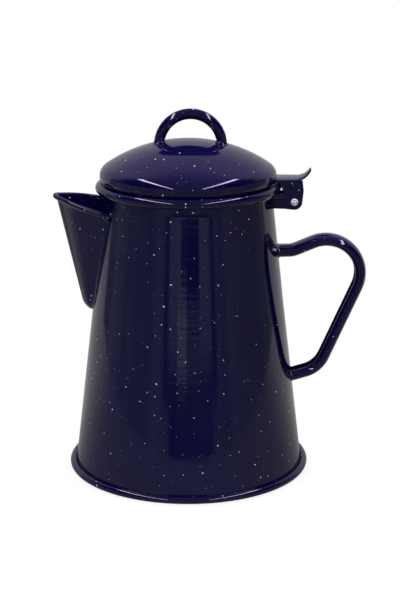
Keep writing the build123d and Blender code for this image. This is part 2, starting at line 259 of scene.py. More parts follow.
def weld_rings(weld: float, sunk: float) -> list[Point]:
    """Rings of the fillet of enamel that runs round a welded foot.

    Args:
        weld: Height of the fillet.
        sunk: How far the last ring lies inside the wall, as a share of that height.

    Returns:
        Distance off the wall and widening of each ring, from the top down.
    """
    rings = []
    for share in (*WELD_RINGS, -sunk):
        left = 1 - max(share, 0)
        rings.append((share * weld, WELD_SPREAD * weld * (1 - math.sqrt(1 - left * left))))
    return rings


# --- meshes
def new_piece(name: str, mesh: Mesh, crease: float = CREASE) -> Piece:
    """Turns a bmesh in millimetres into a smooth-shaded object in metres.

    Args:
        name: Of the object.
        mesh: Its geometry, which is freed.
        crease: Edges that turn by more degrees than this stay sharp.

    Returns:
        The linked object.
    """
    bmesh.ops.remove_doubles(mesh, verts=mesh.verts, dist=JOIN_GAP)
    bmesh.ops.recalc_face_normals(mesh, faces=mesh.faces)
    bmesh.ops.scale(mesh, vec=(MM, MM, MM), verts=mesh.verts)
    data = bpy.data.meshes.new(name)
    mesh.to_mesh(data)
    mesh.free()
    data.shade_smooth()
    data.set_sharp_from_angle(angle=math.radians(crease))
    piece = bpy.data.objects.new(name, data)
    bpy.context.scene.collection.objects.link(piece)
    return piece


def skin(mesh: Mesh, rows: Sequence[Sequence[Vector]], closed: bool, caps: bool) -> None:
    """Adds the quads between rows of points.

    Args:
        mesh: Where the faces go.
        rows: Rows of equally many points.
        closed: True if each row is a loop.
        caps: True if the first and last rows get a face.
    """
    verts = [[mesh.verts.new(p) for p in row] for row in rows]
    count = len(rows[0])
    for one, two in zip(verts, verts[1:]):
        for i in range(count if closed else count - 1):
            j = (i + 1) % count
            mesh.faces.new((one[i], one[j], two[j], two[i]))
    if caps:
        mesh.faces.new(verts[0][::-1])
        mesh.faces.new(verts[-1])


def lofted(name: str, rows: Sequence[Sequence[Vector]], crease: float = CREASE) -> Piece:
    """Solid with a skin over loops of points and a face at each end.

    Args:
        name: Of the object.
        rows: Loops of equally many points.
        crease: Edges that turn by more degrees than this stay sharp.

    Returns:
        The solid.
    """
    mesh = bmesh.new()
    skin(mesh, rows, closed=True, caps=True)
    return new_piece(name, mesh, crease)


def turned(name: str, outline: Sequence[Point], steps: int) -> Piece:
    """Object made by turning an outline of (radius, height) round the Z axis.

    Args:
        name: Of the object.
        outline: Closed loop, or a line that starts and ends on the axis.
        steps: Divisions round the axis.

    Returns:
        The object.
    """
    open_line = outline[0][0] == 0.0 and outline[-1][0] == 0.0
    rows = []
    for i in range(steps + 1):
        a = 2 * math.pi * i / steps
        rows.append([Vector((r * math.cos(a), r * math.sin(a), z)) for r, z in outline])
    mesh = bmesh.new()
    skin(mesh, rows, closed=not open_line, caps=False)
    bmesh.ops.remove_doubles(mesh, verts=mesh.verts, dist=JOIN_GAP)
    bmesh.ops.dissolve_degenerate(mesh, edges=mesh.edges, dist=1e-5)
    return new_piece(name, mesh)


def slab(name: str, outline: Sequence[Point], near: float, far: float,
         level: bool = False) -> Piece:
    """Flat plate of an outline.

    Args:
        name: Of the object.
        outline: Points (x, z), or (x, y) of a level plate.
        near: Where the plate starts along y, or along z.
        far: Where it ends.
        level: True if the outline lies in plan.

    Returns:
        The plate.
    """
    def place(u: float, v: float, end: float) -> Vector:
        """A point of the outline at one of the plate's two faces."""
        return Vector((u, v, end) if level else (u, end, v))

    return lofted(name, [[place(u, v, end) for u, v in outline] for end in (near, far)])


def applied(piece: Piece) -> None:
    """Replaces a piece's mesh by what its modifiers make of it.

    Args:
        piece: A piece with modifiers.
    """
    graph = bpy.context.evaluated_depsgraph_get()
    result = bpy.data.meshes.new_from_object(piece.evaluated_get(graph))
    old = piece.data
    piece.modifiers.clear()
    piece.data = result
    bpy.data.meshes.remove(old)


def soften(piece: Piece, width: float) -> None:
    """Rounds a piece's sharp edges over a width in millimetres, as fired enamel does.

    Args:
        piece: The piece.
        width: Of the rounding.
    """
    bevel = piece.modifiers.new("soft_edges", "BEVEL")
    bevel.width = width * MM
    bevel.segments = 3
    bevel.limit_method = "ANGLE"
    bevel.angle_limit = math.radians(ROUNDED_EDGE)
    applied(piece)
    piece.data.shade_smooth()
    piece.data.set_sharp_from_angle(angle=math.radians(ROUNDED_CREASE))


class Joining(Enum):
    """How a second solid changes a first one."""

    ADD = "UNION"
    CUT = "DIFFERENCE"
    COMMON = "INTERSECT"


def combine(piece: Piece, other: Piece, how: Joining) -> None:
    """Changes a piece by another one, which is used up.

    Args:
        piece: What is changed.
        other: What it is changed by.
        how: How the two are joined.
    """
    join = piece.modifiers.new("join", "BOOLEAN")
    join.operation = how.value
    join.solver = "EXACT"
    join.object = other
    applied(piece)
    bpy.data.objects.remove(other)


def pierce(piece: Piece, cutter: Mesh) -> None:
    """Cuts a bmesh of closed solids, in millimetres, out of a piece."""
    combine(piece, new_piece(piece.name + "_cutter", cutter), Joining.CUT)
    piece.data.set_sharp_from_angle(angle=math.radians(CREASE))


def add_bore(mesh: Mesh, place: Matrix, diameter: float, length: float) -> None:
    """Adds a round bore along the local Z of a place to a cutter.

    Args:
        mesh: The cutter.
        place: Middle of the bore, with Z along it.
        diameter: Of the bore.
        length: Of the bore.
    """
    bmesh.ops.create_cone(
        mesh, cap_ends=True, segments=BORE_STEPS, radius1=diameter / 2, radius2=diameter / 2,
        depth=length, matrix=place,
    )


# --- materials
def srgb(code: str) -> tuple[float, float, float, float]:
    """Linear colour of an sRGB hex code such as "#0c0a3c".

    Args:
        code: A hash sign and six hex digits.

    Returns:
        Red, green, blue and alpha.
    """
    parts = [int(code[i:i + 2], 16) / 255 for i in (1, 3, 5)]
    line = [c / 12.92 if c <= 0.04045 else ((c + 0.055) / 1.055) ** 2.4 for c in parts]
    return (*line, 1.0)


def add(tree: Tree, kind: str, links: dict | None = None, **settings: object) -> Node:
    """Adds a node with its settings and links.

    Args:
        tree: Where the node goes.
        kind: Blender's name of the shader node type, without its prefix.
        links: Input name or number to a socket, a node (for its first output) or a constant.
        settings: Attributes of the node.

    Returns:
        The node.
    """
    node = tree.nodes.new("ShaderNode" + kind)
    for name, value in settings.items():
        setattr(node, name, value)
    for name, value in (links or {}).items():
        if isinstance(value, Node):
            value = value.outputs[0]
        if isinstance(value, Socket):
            tree.links.new(value, node.inputs[name])
        else:
            node.inputs[name].default_value = value
    return node


def new_material(name: str) -> tuple[bpy.types.Material, Tree]:
    """An empty node material and its tree.

    Args:
        name: Of the material.

    Returns:
        The material and the tree of its nodes.
    """
    material = bpy.data.materials.new(name)
    material.use_nodes = True
    material.node_tree.nodes.clear()
    return material, material.node_tree


def pattern_scale(size: float) -> float:
    """Scale of a texture whose grains are of a size in millimetres."""
    return 1 / (size * MM)


def lay_surface(tree: Tree, relief: Node, depth: float, inputs: dict[str, object]) -> None:
    """Ends a material with its shader and its relief.

    Args:
        tree: Where the nodes go.
        relief: Gives the height of the relief, which the depth scales.
        depth: Height in millimetres where the relief gives 1.
        inputs: The shader's other inputs by name.
    """
    bump = add(tree, "Bump", {"Height": relief, "Distance": depth * MM, "Strength": 1.0})
    shader = add(tree, "BsdfPrincipled", {**inputs, "Normal": bump})
    add(tree, "OutputMaterial", {"Surface": shader})


@dataclass(frozen=True)
class SpeckLayer:
    """Grains of white frit that melted into the enamel, scattered without order."""

    spacing: float
    radius: float
    strength: float
    soft: float
    smallest: float = 0.25
    faintest: float = 0.35

    def mask(self, tree: Tree, place: Node) -> Node:
        """Mask of the specks.

        Args:
            tree: Where the nodes go.
            place: Position on the piece, in metres.

        Returns:
            Node that gives about the strength on a speck and 0 elsewhere.
        """
        scale = pattern_scale(self.spacing)
        cells = add(tree, "TexVoronoi", {"Vector": place, "Scale": scale})
        grain = add(tree, "SeparateColor", {"Color": cells.outputs["Color"]})
        size = self.radius / self.spacing
        reach = add(
            tree, "MapRange",
            {"Value": grain.outputs["Red"], "To Min": self.smallest * size, "To Max": size},
        )
        inner = add(tree, "Math", {0: reach, 1: 1 - self.soft}, operation="MULTIPLY")
        edge = add(
            tree, "MapRange",
            {"Value": cells.outputs["Distance"], "From Min": inner, "From Max": reach,
             "To Min": 1.0, "To Max": 0.0},
            interpolation_type="SMOOTHSTEP",
        )
        fade = add(
            tree, "MapRange",
            {"Value": grain.outputs["Green"], "To Min": self.faintest * self.strength,
             "To Max": self.strength},
        )
        return add(tree, "Math", {0: edge, 1: fade}, operation="MULTIPLY")


@dataclass(frozen=True)
class VitreousEnamel:
    """Cobalt-blue porcelain enamel, sprayed on steel and fired until it flows.

    It is glass: a hard clear gloss over a colour so deep that it looks black out of the light.
    """

    name: str = "vitreous_enamel_cobalt_speckled"
    colour: str = "#080432"
    thin_colour: str = "#0e093e"
    speck_colour: str = "#f8f8ff"
    roughness: float = 0.07
    ior: float = 1.5
    cloud: float = 26.0
    cloud_levels: Point = (0.35, 0.7)
    dulling: Point = (0.75, 1.4)
    drop_pull: float = 0.9
    drop_drift: float = 0.45
    orange_peel: float = 3.4
    orange_peel_height: float = 0.012
    draw_rings: float = 1.9
    ring_stretch: Place = (0.10, 0.10, 1.0)
    layer_shift: Place = (0.137, 0.071, 0.053)
    layers: tuple[SpeckLayer, ...] = (
        SpeckLayer(spacing=4.3, radius=0.56, strength=0.95, soft=0.35),
        SpeckLayer(spacing=3.3, radius=0.42, strength=0.35, soft=0.8),
    )

    def coat(self, tree: Tree, place: Socket, clouds: Node) -> Socket:
        """Colour of the coat with its specks.

        Args:
            tree: Where the nodes go.
            place: Position on the piece, in metres.
            clouds: Slow change of the coat's thickness.

        Returns:
            Socket of the colour.
        """
        # The drops are not round: a little noise pulls each of them out of shape.
        scale = pattern_scale(self.drop_pull)
        pull = add(tree, "TexNoise", {"Vector": place, "Scale": scale, "Detail": 1.0})
        drift = add(
            tree, "VectorMath", {0: pull.outputs["Color"], 1: (self.drop_drift * MM,) * 3},
            operation="MULTIPLY",
        )
        drops = add(tree, "VectorMath", {0: place, 1: drift}, operation="ADD")
        # The coat is a little thinner here and there, where the blue comes through brighter.
        colour = add(
            tree, "Mix", {"Factor": clouds, 6: srgb(self.colour), 7: srgb(self.thin_colour)},
            data_type="RGBA",
        ).outputs[2]
        for i, layer in enumerate(self.layers):
            shift = tuple(i * step for step in self.layer_shift)
            shifted = add(tree, "VectorMath", {0: drops, 1: shift}, operation="ADD")
            colour = add(
                tree, "Mix",
                {"Factor": layer.mask(tree, shifted), 6: colour, 7: srgb(self.speck_colour)},
                data_type="RGBA",
            ).outputs[2]
        return colour

    def material(self) -> bpy.types.Material:
        """The enamel as a node material.

        Returns:
            The material.
        """
        material, tree = new_material(self.name)
        place = add(tree, "TexCoord").outputs["Object"]
        scale = pattern_scale(self.cloud)
        clouds = add(tree, "TexNoise", {"Vector": place, "Scale": scale, "Detail": 3.0})
        # Handling leaves the gloss a touch duller in patches.
        dull = add(
            tree, "MapRange",
            {"Value": clouds,
             "From Min": self.cloud_levels[0], "From Max": self.cloud_levels[1],
             "To Min": self.roughness * self.dulling[0],
             "To Max": self.roughness * self.dulling[1]},
        )
        # Fired glass never lies quite flat: it has a soft orange peel, and faint rings from the
        # drawn steel.
        scale = pattern_scale(self.orange_peel)
        peel = add(tree, "TexNoise", {"Vector": place, "Scale": scale, "Detail": 2.0})
        stretched = add(tree, "Mapping", {"Vector": place, "Scale": self.ring_stretch})
        scale = pattern_scale(self.draw_rings)
        rings = add(tree, "TexNoise", {"Vector": stretched, "Scale": scale, "Detail": 1.0})
        height = add(tree, "Math", {0: rings, 1: peel}, operation="ADD")
        colour = self.coat(tree, place, clouds)
        inputs = {"Base Color": colour, "Roughness": dull, "IOR": self.ior}
        lay_surface(tree, height, self.orange_peel_height, inputs)
        return material


@dataclass(frozen=True)
class SpunAluminium:
    """Thin aluminium, spun and drawn on a lathe, then left bare.

    The tool leaves fine rings round the axis, and hot water greys the metal unevenly.
    """

    name: str = "spun_aluminium_insert"
    colour: str = "#c6c8cb"
    stained_colour: str = "#9a9791"
    roughness: float = 0.30
    brushed: float = 0.4
    ring_pitch: float = 0.8
    ring_height: float = 0.006
    ring_dulling: Point = (0.8, 1.3)
    stain: float = 18.0
    stain_levels: Point = (0.45, 0.75)
    stain_share: float = 0.6

    def material(self) -> bpy.types.Material:
        """The metal as a node material.

        Returns:
            The material.
        """
        material, tree = new_material(self.name)
        place = add(tree, "TexCoord").outputs["Object"]
        parts = add(tree, "SeparateXYZ", {0: place})
        across = add(tree, "CombineXYZ", {"X": parts.outputs["X"], "Y": parts.outputs["Y"]})
        radius = add(tree, "VectorMath", {0: across}, operation="LENGTH").outputs["Value"]
        # Rings follow the radius and the height together, so they show on plates and on walls.
        run = add(tree, "Math", {0: radius, 1: parts.outputs["Z"]}, operation="ADD")
        line = add(tree, "CombineXYZ", {"X": run})
        scale = pattern_scale(self.ring_pitch)
        rings = add(tree, "TexNoise", {"Vector": line, "Scale": scale, "Detail": 3.0})
        scale = pattern_scale(self.stain)
        stains = add(tree, "TexNoise", {"Vector": place, "Scale": scale, "Detail": 4.0})
        share = add(
            tree, "MapRange",
            {"Value": stains, "From Min": self.stain_levels[0],
             "From Max": self.stain_levels[1], "To Max": self.stain_share},
        )
        colour = add(
            tree, "Mix", {"Factor": share, 6: srgb(self.colour), 7: srgb(self.stained_colour)},
            data_type="RGBA",
        )
        rough = add(
            tree, "MapRange",
            {"Value": rings, "To Min": self.roughness * self.ring_dulling[0],
             "To Max": self.roughness * self.ring_dulling[1]},
        )
        inputs = {"Base Color": colour.outputs[2], "Metallic": 1.0, "Roughness": rough,
                  "Anisotropic": self.brushed}
        lay_surface(tree, rings, self.ring_height, inputs)
        return material


@dataclass(frozen=True)
class RivetSteel:
    """Galvanised steel rivet, set cold with a hammer after the enamel was fired.

    Its head is dented by the blows, and the zinc has a dull white bloom that scatters the light.
    """

    name: str = "set_steel_rivet"
    colour: str = "#fafafa"
    dent_shade_colour: str = "#c4c4c8"
    metal_share: float = 0.3
    roughness: float = 0.5
    dent: float = 1.1
    dent_shade_levels: Point = (0.4, 0.62)
    dent_depth: float = 0.16

    def material(self) -> bpy.types.Material:
        """The steel as a node material.

        Returns:
            The material.
        """
        material, tree = new_material(self.name)
        place = add(tree, "TexCoord").outputs["Object"]
        scale = pattern_scale(self.dent)
        dents = add(tree, "TexNoise", {"Vector": place, "Scale": scale, "Detail": 2.0})
        # Painted shade: the head is darker in its dents and lighter on the raised parts between
        # them.
        share = add(
            tree, "MapRange",
            {"Value": dents, "From Min": self.dent_shade_levels[0], "From Max": self.dent_shade_levels[1]},
        )
        colour = add(
            tree, "Mix", {"Factor": share, 6: srgb(self.dent_shade_colour), 7: srgb(self.colour)},
            data_type="RGBA",
        )
        inputs = {"Base Color": colour.outputs[2], "Metallic": self.metal_share,
                  "Roughness": self.roughness}
        lay_surface(tree, dents, self.dent_depth, inputs)
        return material


class Finish(Enum):
    """The finishes of the percolator, each named as its slot in the record."""

    ENAMEL = "speckled_enamel"
    ALUMINIUM = "spun_aluminium"
    RIVET = "rivet_steel"


FINISHES = {
    Finish.ENAMEL: VitreousEnamel(),
    Finish.ALUMINIUM: SpunAluminium(),
    Finish.RIVET: RivetSteel(),
}


class Dresser:
    """Gives each piece its finish, and puts it in the place of its CAD node."""

    def __init__(self) -> None:
        """Makes each finish once."""
        self.materials = {kind: finish.material() for kind, finish in FINISHES.items()}

    def stand_in(self, piece: Piece, node: str, body: str, finish: Finish) -> None:
        """Finishes a piece that takes the place of a CAD node, and the node too.

        Args:
            piece: The fine mesh.
            node: The CAD node that it stands for.
            body: The body that it moves with.
            finish: Its finish.
        """
        piece.data.materials.clear()
        piece.data.materials.append(self.materials[finish])
        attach(piece, body)
        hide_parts(node)
        for slot in frame["nodes"][node].material_slots:
            slot.material = self.materials[finish]
        log.info("%s stands for %s on %s", piece.name, node, body)


# --- pot
@dataclass
class PotBody:
    """Cone, straight neck and rolled rim in one sheet, closed by a pan seamed round its foot."""

    sheet: float = 1.0
    foot_r: float = 66.7
    foot_bend: float = 1.0
    foot_flare: float = 0.6
    flare_z: float = 100.0
    flare_bend: float = 600.0
    flange_z: float = 2.7
    neck_z: float = 160.6
    neck_bend: float = 44.0
    rim_r: float = 53.4
    rim_bead: float = 5.5
    rim_curl: float = 120.0
    base_bead: float = 4.3
    base_curl: float = 128.0
    pan_recess: float = 1.6
    pan_step: float = 5.0
    pan_bend: float = 1.5
    hole_d: float = 3.4
    hole_pitch: float = 6.4
    hole_low_z: float = 110.0
    hole_high_z: float = 149.4
    hole_margin: float = 3.4

    @property
    def rim_top_z(self) -> float:
        """Top of the rolled rim."""
        return high("pot_shell").z

    @property
    def base_mid_r(self) -> float:
        """Radius of the middle of the base bead."""
        return high("base_pan").x - self.base_bead / 2

    @property
    def neck_r(self) -> float:
        """Outer radius of the neck."""
        return self.rim_r - self.rim_bead + self.sheet

    @property
    def slope(self) -> float:
        """Fall of the cone's radius with height."""
        return (self.foot_r - self.neck_r) / self.neck_z

    def wall_r(self, z: float) -> float:
        """Outer radius of the wall at a height."""
        return max(self.foot_r - self.slope * z, self.neck_r)

    def wall(self) -> Piece:
        """Sheet of the cone, the neck and the rim.

        Returns:
            The wall, still without its strainer holes.
        """
        half = self.sheet / 2
        rim_z = self.rim_top_z - self.rim_bead / 2
        inset = half * math.hypot(1, self.slope)
        line = rounded(
            [
                (self.base_mid_r, self.flange_z),
                (self.foot_r + self.foot_flare - inset, self.flange_z),
                (self.foot_r - self.slope * self.flare_z - inset, self.flare_z),
                (self.neck_r - half, self.neck_z),
                (self.neck_r - half, rim_z),
            ],
            [self.foot_bend, self.flare_bend, self.neck_bend], 3,
        )
        roll = (self.rim_bead - self.sheet) / 2
        line += arc((self.rim_r - self.rim_bead / 2, rim_z), roll, 180, -self.rim_curl, 9)[1:]
        return turned("enamelled_wall", sheet_outline(line, self.sheet), ROUND_STEPS)

    def strainer(self, spout: "Spout") -> Mesh:
        """Cutter for the staggered rows of holes behind the spout.

        Args:
            spout: The spout, whose width sets how many holes each row has room for.

        Returns:
            The cutter.
        """
        cutter = bmesh.new()
        across = Matrix.Rotation(math.pi / 2, 4, "Y")
        rows = int((self.hole_high_z - self.hole_low_z) / self.hole_pitch) + 1
        for row in range(rows):
            z = self.hole_low_z + row * self.hole_pitch
            wall = Matrix.Translation((self.wall_r(z) - self.sheet, 0, z))
            room = (spout.half_width(z) - self.hole_margin) / self.hole_pitch
            count = 2 * int(room + 0.5) if row % 2 else 2 * int(room) + 1
            for i in range(count):
                turn = math.pi + (i - (count - 1) / 2) * self.hole_pitch / self.wall_r(z)
                place = Matrix.Rotation(turn, 4, "Z") @ wall @ across
                add_bore(cutter, place, self.hole_d, 8 * self.sheet)
        return cutter

    def pan(self) -> Piece:
        """Bottom pan, with its edge rolled up over the wall's foot.

        Returns:
            The piece.
        """
        half = self.sheet / 2
        panel_r = self.foot_r - self.pan_step
        line = rounded(
            [
                (0.0, self.pan_recess + half), (panel_r, self.pan_recess + half),
                (panel_r + 2 * self.pan_recess, half), (self.base_mid_r, half),
            ],
            [self.pan_bend, self.pan_bend],
        )
        roll = (self.base_bead - self.sheet) / 2
        line += arc((self.base_mid_r, self.base_bead / 2), roll, -90, self.base_curl, 9)[1:]
        return turned("base_pan_seamed", sheet_outline(line, self.sheet, True), ROUND_STEPS)

    def build(self, dresser: Dresser, spout: "Spout") -> None:
        """Makes and finishes the wall and the pan.

        Args:
            dresser: Gives the pieces their finish.
            spout: The spout.
        """
        wall = self.wall()
        pierce(wall, self.strainer(spout))
        dresser.stand_in(wall, "pot_shell", "pot", Finish.ENAMEL)
        dresser.stand_in(self.pan(), "base_pan", "pot", Finish.ENAMEL)


@dataclass
class Spout:
    """Steel folded to a V and welded on the wall, with a rolled lip that dips at the weld."""

    tip_z: float = 163.8
    tip_x: float = -76.5
    fold_x: float = -61.5
    bottom_z: float = 97.7
    close_h: float = 6.4
    top_half_w: float = 24.0
    bottom_half_w: float = 7.0
    least_half_w: float = 0.02
    nose_r: float = 6.0
    foot_nose_r: float = 3.0
    nose_share: float = 0.45
    bulge: float = 0.11
    rim_drop: float = 12.5
    dip: float = 32.0
    dip_x: float = -47.6
    dip_soft: float = 0.9
    sheet: float = 1.0
    bead: float = 3.0
    bead_out: float = 1.9
    lip_turn: Point = (-50.0, 159.0)
    weld: float = 2.2
    weld_sink: float = 0.25
    weld_limit: float = 0.3
    weld_thinning: float = 0.5
    inner_depth: float = 0.7
    foot_gap: float = 0.01
    lip_reach: float = 1.7
    hollow: Point = (0.3, 0.65)
    nose_steps: int = 6
    side_steps: int = 14
    weld_steps: int = 5
    lip_steps: int = 11
    lip_rounds: int = 12
    rows: int = 44
    row_growth: float = 1.6
    crease: float = 60.0

    def share(self, z: float) -> float:
        """How far up the spout a height is, from 0 at the fold's foot to 1 at the tip."""
        return (z - self.bottom_z) / (self.tip_z - self.bottom_z)

    def half_width(self, z: float) -> float:
        """Half the width over the sides where they meet the wall."""
        return self.bottom_half_w + (self.top_half_w - self.bottom_half_w) * self.share(z)

    def low_z(self) -> float:
        """Height at which the spout's foot runs out on the wall."""
        return self.bottom_z - self.close_h / 2

    def stand_out(self, z: float) -> float:
        """Share of its full size that the section has at a height, below 1 only near the foot."""
        gone = (self.low_z() + self.close_h - z) / self.close_h
        return math.sqrt(max(0.0, 1 - max(0.0, gone) ** 2))

    def half_section(self, z: float, body: PotBody) -> list[Vector]:
        """Half of the outer section at a height, from the fold line to the wall.

        Args:
            z: The height.
            body: The pot body, whose wall it ends on.

        Returns:
            Points on the level plane, always equally many.
        """
        wall_r = body.wall_r(z)
        size = self.stand_out(z)
        full_x = self.fold_x + (self.tip_x - self.fold_x) * self.share(z)
        nose_x = -wall_r + (full_x + wall_r) * size
        width = max(self.half_width(z) * size, self.least_half_w)
        nose_r = self.foot_nose_r + (self.nose_r - self.foot_nose_r) * self.share(z)
        nose_r = min(nose_r, self.nose_share * width)
        end = Vector((-math.sqrt(wall_r**2 - width**2), width))
        centre = (nose_x + nose_r, 0.0)
        first = 90 + math.degrees(math.atan2(width - nose_r, end.x - centre[0]))
        points = [
            Vector(polar(centre, nose_r, 180 + (first - 180) * i / self.nose_steps))
            for i in range(self.nose_steps + 1)
        ]
        start = points[-1]
        along = end - start
        out = Vector((-along.y, along.x)) * self.bulge * 4
        weld = min(self.weld, self.weld_limit * along.length)
        stop = 1 - weld / max(along.length, 1e-6)
        for i in range(1, self.side_steps + 1):
            t = stop * i / self.side_steps
            points.append(start + along * t + out * t * (1 - t))
        turn = math.atan2(end.y, end.x) - weld / wall_r
        foot = Vector((math.cos(turn), math.sin(turn))) * (wall_r - self.weld_sink)
        last = points[-1]
        for i in range(1, self.weld_steps + 1):
            points.append(bent(last, end, foot, i / self.weld_steps))
        return points

    def rim_z(self, x: float) -> float:
        """Height of the rim over a place along X: slanted, then steeper close to the wall.

        Args:
            x: The place.

        Returns:
            The height.
        """
        fall, dip = (math.tan(math.radians(angle)) for angle in (self.rim_drop, self.dip))
        slant = self.tip_z - (x - self.tip_x) * fall
        dipping = self.tip_z - (self.dip_x - self.tip_x) * fall - (x - self.dip_x) * dip
        return (slant + dipping - math.hypot(slant - dipping, self.dip_soft)) / 2

    def lip_z(self, index: int, body: PotBody) -> float:
        """Height of the middle of the lip's bead over one point of the half section.

        Args:
            index: Number of the point in the half section.
            body: The pot body.

        Returns:
            The height.
        """
        top = self.tip_z
        for _ in range(self.lip_rounds):
            top = self.rim_z(self.half_section(top, body)[index].x)
        return top - self.bead / 2

    def column(self, index: int, top: float, body: PotBody) -> tuple[list[Vector], list[Vector]]:
        """One column of the outer skin, from the foot up.

        Args:
            index: Number of the point in the half section.
            top: Height at which the column ends.
            body: The pot body.

        Returns:
            The points, and the level outward normals.
        """
        foot = self.low_z() + self.foot_gap
        points, outs = [], []
        for row in range(self.rows + 1):
            z = foot + (top - foot) * (row / self.rows) ** self.row_growth
            section = self.half_section(z, body)
            here = section[index]
            before = section[index - 1] if index else Vector((section[1].x, -section[1].y))
            after = section[min(index + 1, len(section) - 1)]
            along = (after - before).normalized()
            points.append(Vector((here.x, here.y, z)))
            outs.append(Vector((-along.y, along.x, 0.0)))
        return points, outs

    def inner(self, line: list[Vector], outs: list[Vector], thickness: float,
              body: PotBody) -> list[Vector]:
        """Inner side of a column, which stops short of the wall's inner face.

        Args:
            line: The column's outer points.
            outs: Their outward normals.
            thickness: Of the sheet there.
            body: The pot body.

        Returns:
            The inner points.
        """
        points = []
        for point, out in zip(line, outs):
            shifted = point - out * thickness
            floor = body.wall_r(point.z) - self.inner_depth * body.sheet
            grow = max(1.0, floor / math.hypot(shifted.x, shifted.y))
            points.append(Vector((shifted.x * grow, shifted.y * grow, shifted.z)))
        return points

    def loop(self, index: int, body: PotBody) -> list[Vector]:
        """Closed loop round the sheet at one place: up outside, over the lip, down inside.

        Args:
            index: Number of the point in the half section.
            body: The pot body.

        Returns:
            The points.
        """
        half_h = self.bead / 2
        half_t = (self.sheet + self.bead_out) / 2
        mid_z = self.lip_z(index, body)
        outer = self.column(index, mid_z - self.lip_reach * half_h, body)[0]
        line, outs = self.column(index, mid_z, body)
        # The sheet thins where it runs into the weld.
        in_weld = max(0, index - self.nose_steps - self.side_steps) / self.weld_steps
        thickness = self.sheet * (1 - self.weld_thinning * in_weld)
        inner = self.inner(line, outs, thickness, body)
        out = outs[-1]
        up = (line[-1] - line[-4]).normalized()
        mid = line[-1] + out * (self.bead_out - half_t)
        lip = []
        for i in range(self.lip_steps + 1):
            u, v = polar((0.0, 0.0), 1.0, self.lip_turn[0]
                         + (self.lip_turn[1] - self.lip_turn[0]) * i / self.lip_steps)
            lip.append(mid + out * half_t * u + up * half_h * v)
        knee = line[-1] - up * half_h
        hollow = [bent(outer[-1], knee, lip[0], t) for t in self.hollow]
        return outer + hollow + lip + inner[::-1]

    def build(self, dresser: Dresser, body: PotBody) -> None:
        """Makes and finishes the spout, whose two ends on the wall are closed row by row.

        Args:
            dresser: Gives the pieces their finish.
            body: The pot body.
        """
        count = self.nose_steps + self.side_steps + self.weld_steps
        half = [self.loop(i, body) for i in range(count + 1)]
        flip = Vector((1, -1, 1))
        rows = [[p * flip for p in row] for row in half[:0:-1]] + half
        mesh = bmesh.new()
        skin(mesh, rows, closed=True, caps=False)
        verts = list(mesh.verts)
        size = len(rows[0])
        for end in (verts[:size], verts[-size:]):
            for i in range(self.rows):
                mesh.faces.new((end[i], end[i + 1], end[size - 2 - i], end[size - 1 - i]))
            mesh.faces.new(end[self.rows:size - self.rows])
        piece = new_piece("folded_spout", mesh, self.crease)
        dresser.stand_in(piece, "spout", "pot", Finish.ENAMEL)


